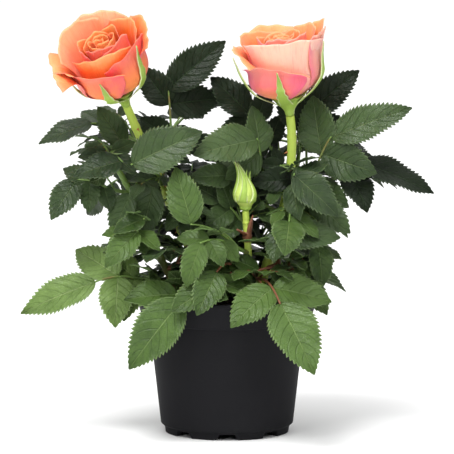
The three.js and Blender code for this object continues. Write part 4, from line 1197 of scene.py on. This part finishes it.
def leafletGrids(way, rows, columns, tooth, seed):
    base, along, over, top, length, half = way
    c = leafCut
    v, u = rows[:, None], np.asarray(columns)[None, :]
    half = half * length * c["widest"] * v ** c["basePower"] * (1 - v) ** c["tipPower"]
    half = np.maximum(half * (0.96 + 0.08 * math.sin(seed)), 0.2)
    teeth, forward = tooth
    edge = np.abs(u) ** c["toothEdge"]
    x = u * half + np.sign(u) * edge * teeth[:, None]
    y = length * v + edge * forward[:, None]
    lines = (v - c["veinLean"] * np.abs(u) - c["veinCurve"] * u * u) * c["veins"] + 0.5
    onVein = np.abs(lines % 1 - 0.5) * 2  # 1 on a vein and 0 between two
    size = min(1.0, length / c["grown"])
    z = -leafBend * length * v * v + leafFold * half * (1.7 * np.abs(u) - 0.7 * u * u)
    z = z - c["groove"] * size * onVein ** 3 * np.abs(u) ** 0.4 * (1 - u ** 6)
    swing = np.sin(2 * math.pi * (1.8 * v + seed) + np.sign(u) * 1.3)
    z = z + c["wave"] * size * u * u * swing * np.sin(math.pi * np.clip(v, 0, 1))
    keel = c["thick"] + c["keel"] * np.exp(-(u / 0.1) ** 2) * (1 - v)
    return [base + along * y[..., None] + over * x[..., None] + top * (z - drop)[..., None]
            for drop in (0 * keel, keel)]


def leafletShell(heap, way, seed, tone):
    c, length = leafCut, way[4]
    count = max(8, round(length / c["toothPitch"]))
    rows = [(0.004, 0.0, 0.0)]  # how far along, how far out its tooth stands, how far on
    for k in range(count):
        for phase, rise in c["phases"]:
            at = (k + phase) / count
            if at > 0.01:
                tooth = rise * min(1, 5 * at) * min(1, 3.5 * (1 - at) + 0.1)
                rows.append((at, c["toothDepth"] * length * tooth, c["toothLean"] * length / count * tooth))
    rows, teeth, forward = np.array([*rows, (0.9985, 0.0, 0.0)]).T
    half = c["fewColumns" if length < c["small"] else "columns"]
    columns = [-u for u in half[::-1]] + [0, *half]
    upper, lower = leafletGrids(way, rows, columns, (teeth, forward), seed)
    shell(heap, upper, lower, stripMap(np.array(columns)[None, :], rows[:, None]), tone, (0, 1))


def tintRow(dark, light, vein, under, rim, gloss):
    return {"dark": dark, "light": light, "vein": vein, "under": under, "rim": rim, "gloss": gloss}


# painted shade: the last tint is the dark leaves' own green darkened further, for the leaves inside and
# behind the crown
tints = {
    "pale": tintRow("#405a1c", "#7b9750", "#b2c688", "#6c8650", "#a3b884", 0.35),
    "fresh": tintRow("#243c10", "#547030", "#93aa6c", "#5a7242", "#7f955e", 0.4),
    "mid": tintRow("#1b2f13", "#435a2c", "#7d9062", "#3e502e", "#687a52", 0.45),
    "deep": tintRow("#081405", "#1b2b11", "#43553a", "#28371f", "#3f5036", 0.24),
}


def veinMasks(shade, across, along, veinWidth, ribWidth):
    # 1 on the side veins and on the midrib, fading to 0 beside them
    side = fromMiddle(shade, across)
    lines = (along - side * (leafCut["veinLean"] + side * leafCut["veinCurve"])) * float(leafCut["veins"])
    veins = spread(shade, mirrored(shade, lines), 0.0, veinWidth, (1.0, 0.0)) * (1.0 - side * 0.5)
    return side, veins, spread(shade, side, 0.0, ribWidth, (1.0, 0.0))


def leafMaterial(name, tint):
    material, shade = newMaterial(name)
    across, along = growthMap(shade)
    side, veins, midrib = veinMasks(shade, across, along, 0.12, 0.05)
    tone = shade.node("Attribute", {"attribute_name": "tone"}, out="Fac")
    cells = shade.node("CombineXYZ", {}, {0: across * 1.0, 1: along * 1.9, 2: tone * 5.0})
    net = shade.node("TexVoronoi", {"feature": "DISTANCE_TO_EDGE"}, {"Vector": cells, "Scale": 26.0})
    net = spread(shade, net, 0.0, 0.12, (1.0, 0.0))
    mottle, fine = grain(shade, 90.0, 4.0), grain(shade, 620.0)
    amount = spread(shade, mottle * 0.6 + fine * 0.35 + tone * 0.6, 0.45, 1.1)
    colour = blend(shade, amount, tint["dark"], tint["light"])
    # painted shade: darker along the sunken veins and the fine net between them
    colour = blend(shade, veins * 0.26 + net * 0.14, colour, tint["dark"])
    colour = blend(shade, midrib * 0.5, colour, tint["vein"])
    height = 1.0 - veins * 0.6 - midrib * 0.7 - net * 0.22 + fine * 0.35
    finishMaterial(shade, {
        "Base Color": blend(shade, spread(shade, side, 0.92, 1.0) * 0.6, colour, tint["rim"]),
        "Roughness": 0.25 + mottle * 0.14 + fine * 0.1,
        "Specular IOR Level": tint["gloss"],
        "Normal": relief(shade, height, 0.0009, 0.9),
    })
    return material


def undersideMaterial(name, tint):
    material, shade = newMaterial(name)
    _, veins, midrib = veinMasks(shade, *growthMap(shade), 0.1, 0.1)
    mottle = grain(shade, 120.0, 4.0)
    # the underside colour of the mid and darkest tints is darkened, painted shade under the leaves
    colour = blend(shade, mottle * 0.4, tint["under"], tint["light"])
    finishMaterial(shade, {
        "Base Color": blend(shade, veins * 0.45 + midrib * 0.4, colour, "#b7c795"),
        "Roughness": 0.6 + mottle * 0.12,
        "Specular IOR Level": 0.2,
        "Normal": relief(shade, veins * 0.6 + midrib, 0.0005, 0.7),
    })
    return material


leafFinish = {
    name: [leafMaterial(name + "Leaf", own), undersideMaterial(name + "LeafBelow", own)]
    for name, own in tints.items()
}


def treeOf(points, faces):
    return np.min(points, 0), np.max(points, 0), BVHTree.FromPolygons(points.tolist(), faces)


def coarseTree(way):
    # a plain copy of a leaflet, to find what it would cut through
    rows = np.linspace(0.02, 0.98, 7)
    flat = np.zeros(7)
    upper, _ = leafletGrids(way, rows, (-1.05, -0.5, 0, 0.5, 1.05), (flat, flat), 0.0)
    at = np.arange(35).reshape(7, 5)
    quads = np.stack([at[:-1, :-1], at[1:, :-1], at[1:, 1:], at[:-1, 1:]], -1).reshape(-1, 4)
    return treeOf(upper.reshape(-1, 3), quads.tolist())


def cuts(tree, others):
    low, high, shape = tree
    return any(np.all(low <= otherHigh) and np.all(otherLow <= high) and shape.overlap(other)
               for otherLow, otherHigh, other in others)


def stalkWood(heap, line, ends, steps, seed):
    # a leaf stalk: slim, with a grooved top and small bristles under it
    def radius(t, turn):
        return lerp(*ends, t) * (1 + 0.35 * math.exp(-((t / 0.07) ** 2))) * (1 - 0.08 * math.cos(2 * turn))

    tube(heap, line, radius, 8, steps)
    draw = seeded(seed)
    for k in range(stalk["bristles"]):
        t = 0.2 + 0.2 * k + 0.1 * draw()
        along = unit(line(t + 0.02) - line(t - 0.02))
        down = unit(-upward + along * along[2])
        thorn(heap, line(t) + down * lerp(*ends, t) * 0.8, down, along, stalk["bristle"], 1)


stipule = {"long": 9.5, "wide": 1.5, "ear": 1.6, "clear": 0.5, "thick": 0.28, "rows": 12, "columns": 4}


def stipules(heap, line):
    # the pair of narrow wings along the foot of a leaf stalk
    w, along = stipule, unit(line(0.1) - line(0.0))
    side = np.cross(along, upward)
    side = unit(side) if np.linalg.norm(side) > 0.05 else np.array([1.0, 0, 0])
    top = np.cross(side, along)
    t, u = np.linspace(0, 1, w["rows"])[:, None], np.linspace(0, 1, w["columns"])[None, :]
    base = line(0.0) + along * (w["long"] * t)[..., None]
    width = w["wide"] * np.sin(math.pi * np.clip(t * 0.72 + 0.12, 0, 1)) * (1 - ease(0.8, 1, t)) + 0.15
    out = w["clear"] + width * u + w["ear"] * ease(0.7, 1, t)
    for sign in (1, -1):
        grids = [raised(base, side, top, sign * out, (0.35 + 0.5 * out - drop) * 0.6)[:, ::sign]
                 for drop in (0.0, w["thick"])]
        shell(heap, *grids, finish=(2, 2))


def solidTrees():
    # the stems, flowers and pot, which no added leaf may cut through
    found = []
    for name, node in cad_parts.items():
        if not name.startswith("leaves_"):
            found.append(treeOf(cornersOf(name), [list(p.vertices) for p in node.data.polygons]))
    return found


def cornersOf(name):
    return np.array([v.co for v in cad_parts[name].data.vertices]) / mm


finer = {
    "openFront": ((4, -90, 122), (21, -20, 192)),  # nothing is added in front of the bud
    "reddish": ("right_low", "right_under", "right_low_back", "low_mid", "fill_low", "front_right"),
    "pairShare": 0.6, "pairBack": 0.45, "pairMost": 0.86, "pairSpread": (66, 76), "smallest": 9,
    "crowded": ("left_low", "low_centre", "fill_low", "side_left", "back_low_left", "low_mid",
                "upper_centre", "fill_mid", "between", "centre_dark"),
}
added = {  # the small leaves that are added; each pair is the least and the most
    "count": 3, "more": 4, "tries": 30, "margin": 4, "start": (0.25, 0.85), "rise": (-10, 60),
    "reach": (10, 26), "blade": (15, 27), "sway": 50, "droop": (10, 40), "tilt": (30, 60),
    "pairBack": 0.34, "pairSpread": (60, 74), "pairShare": 0.78, "thick": (0.75, 0.5), "steps": 14,
}


def hides(points):
    low, high = finer["openFront"]
    return any(np.all(point > low) and np.all(point < high) for point in points)


def growFoliage():
    # every mass with the leaflets that stand as in the solids
    draw = seeded(7)
    standing, placed = [], []
    for row in masses + sprays:
        leaves = sprayLeaves(row, draw) if row in sprays else row[5]
        corners, grown = cornersOf("leaves_" + row[0]), []
        for leaf in leaves:
            own = leafletsOf(row, leaf, draw)
            ways = [way for way in (standsAs(leaflet, corners) for leaflet in own) if way]
            if ways:
                grown.append((leaf, ways))
                standing.extend(coarseTree(way) for way in ways)
        placed.append((row, corners, grown))
    print("leaflets standing as in the solids:", len(standing))
    return placed, standing + solidTrees()


def youngLeaf(row, corners, standing, extra):
    # a small leaf from the side shoot, in room that the solid's leaves left free
    low, high = corners.min(0) - added["margin"], corners.max(0) + added["margin"]
    start = shootLine(row)(between(added["start"], extra))
    for _ in range(added["tries"]):
        bearing, rise = 360 * extra(), between(added["rise"], extra)
        reach, size = between(added["reach"], extra), between(added["blade"], extra)
        line = archedLine(start, bearing, rise, reach)
        aside = swayed(bearing, added["sway"], extra)
        blade = heading(aside, rise - between(added["droop"], extra))
        facing = heading(aside, 90 - between(added["tilt"], extra))
        spine = unit(heading(bearing, rise) + blade)
        level = unit(facing - spine * np.dot(facing, spine))
        base = line(1 - min(0.5, added["pairBack"] * size / reach))
        trial = [bentFrame((line(1), blade, facing, size, leafCut["half"]), 0, 0)]
        for side in (1, -1):
            along = turned(spine, level, side * between(added["pairSpread"], extra))
            own = (base, along, level, size * added["pairShare"], leafCut["lateral"])
            trial.append(bentFrame(own, 0, 0))
        fits = []
        for way in trial:
            tree, tip = coarseTree(way), tipOf(way)
            inside = np.all(tip > low) and np.all(tip < high)
            inside = inside and not hides([line(0.5), way[0], (way[0] + tip) / 2, tip])
            if inside and not cuts(tree, standing):
                fits.append((way, tree))
            elif way is trial[0]:
                break
        if len(fits) >= 2:
            standing.extend(tree for _, tree in fits)
            return line, [way for way, _ in fits]
    return None, []


def leafTone(tone, extra):
    return 0.25 + 0.4 * tone + 0.3 * extra()


def pairAtFoot(leaves, leaf, ways, run, standing, extra, tone):
    # one more pair of small leaflets nearer the foot of a leaf
    spine, level, size = unit(ways[0][1] + unit(run(1) - run(0.9))), ways[0][3], ways[0][4]
    farther = pair["back"][max(0, leaf[4] - 1)] + finer["pairBack"]
    back = min(finer["pairMost"], farther * size / leaf[1][2])
    for side in (1, -1):
        length = size * finer["pairShare"] * (0.9 + 0.2 * extra())
        apart = between(finer["pairSpread"], extra)
        along = turned(unit(spine - level * np.dot(spine, level)), level, side * apart)
        way = bentFrame((run(1 - back), along, level, length, leafCut["lateral"]), 0, 0)
        tree = coarseTree((way[0] + way[1] * 1.2, *way[1:]))
        hidden = hides([way[0], way[0] + way[1] * way[4] / 2, way[0] + way[1] * way[4]])
        if length > finer["smallest"] and not hidden and not cuts(tree, standing):
            standing.append(tree)
            leafletShell(leaves, way, extra(), leafTone(tone, extra))


def makeMass(number, row, corners, grown, standing, extra):
    name, caneName, up, _, tint = row[:5]
    leaves, wood = newHeap(), newHeap()
    line = shootLine(row)
    foot = line(0) - (line(0) - caneLine(canes[caneName])(up)) * 0.5
    tube(wood, lambda t: foot + (line(1) - foot) * t,
         lambda t, turn: lerp(*shoot["thick"], t) + 0.5 * (1 - t) ** 8, shoot["sides"], shoot["steps"])
    for k, (leaf, ways) in enumerate(grown):
        run = stalkLine(row, leaf)
        stalkWood(wood, run, stalk["thick"], stalk["steps"], 100 * number + k)
        stipules(wood, run)
        _, tone = extra(), extra()  # the first is left unused
        for way in ways:
            leafletShell(leaves, way, extra(), leafTone(tone, extra))
        pairAtFoot(leaves, leaf, ways, run, standing, extra, tone)
    for k in range(added["count"] + (added["more"] if name in finer["crowded"] else 0)):
        run, ways = youngLeaf(row, corners, standing, extra)
        if ways:
            stalkWood(wood, run, added["thick"], added["steps"], 900 + 10 * number + k)
        for way in ways:
            leafletShell(leaves, way, extra(), 0.4 + 0.5 * extra())
    place(build(leaves, "foliage_" + name, leafFinish[tint]), "leaves_" + name)
    bark = stems["reddish" if name in finer["reddish"] else "stalk"]
    stalkFinish = [bark, stems["thorn"], leafFinish["fresh"][1]]
    place(build(wood, "stalks_" + name, stalkFinish), "leaves_" + name)


def makeFoliage():
    placed, standing = growFoliage()
    extra = seeded(404)
    for number, (row, corners, grown) in enumerate(placed):
        makeMass(number, row, corners, grown, standing, extra)


makeFoliage()
print("foliage made")
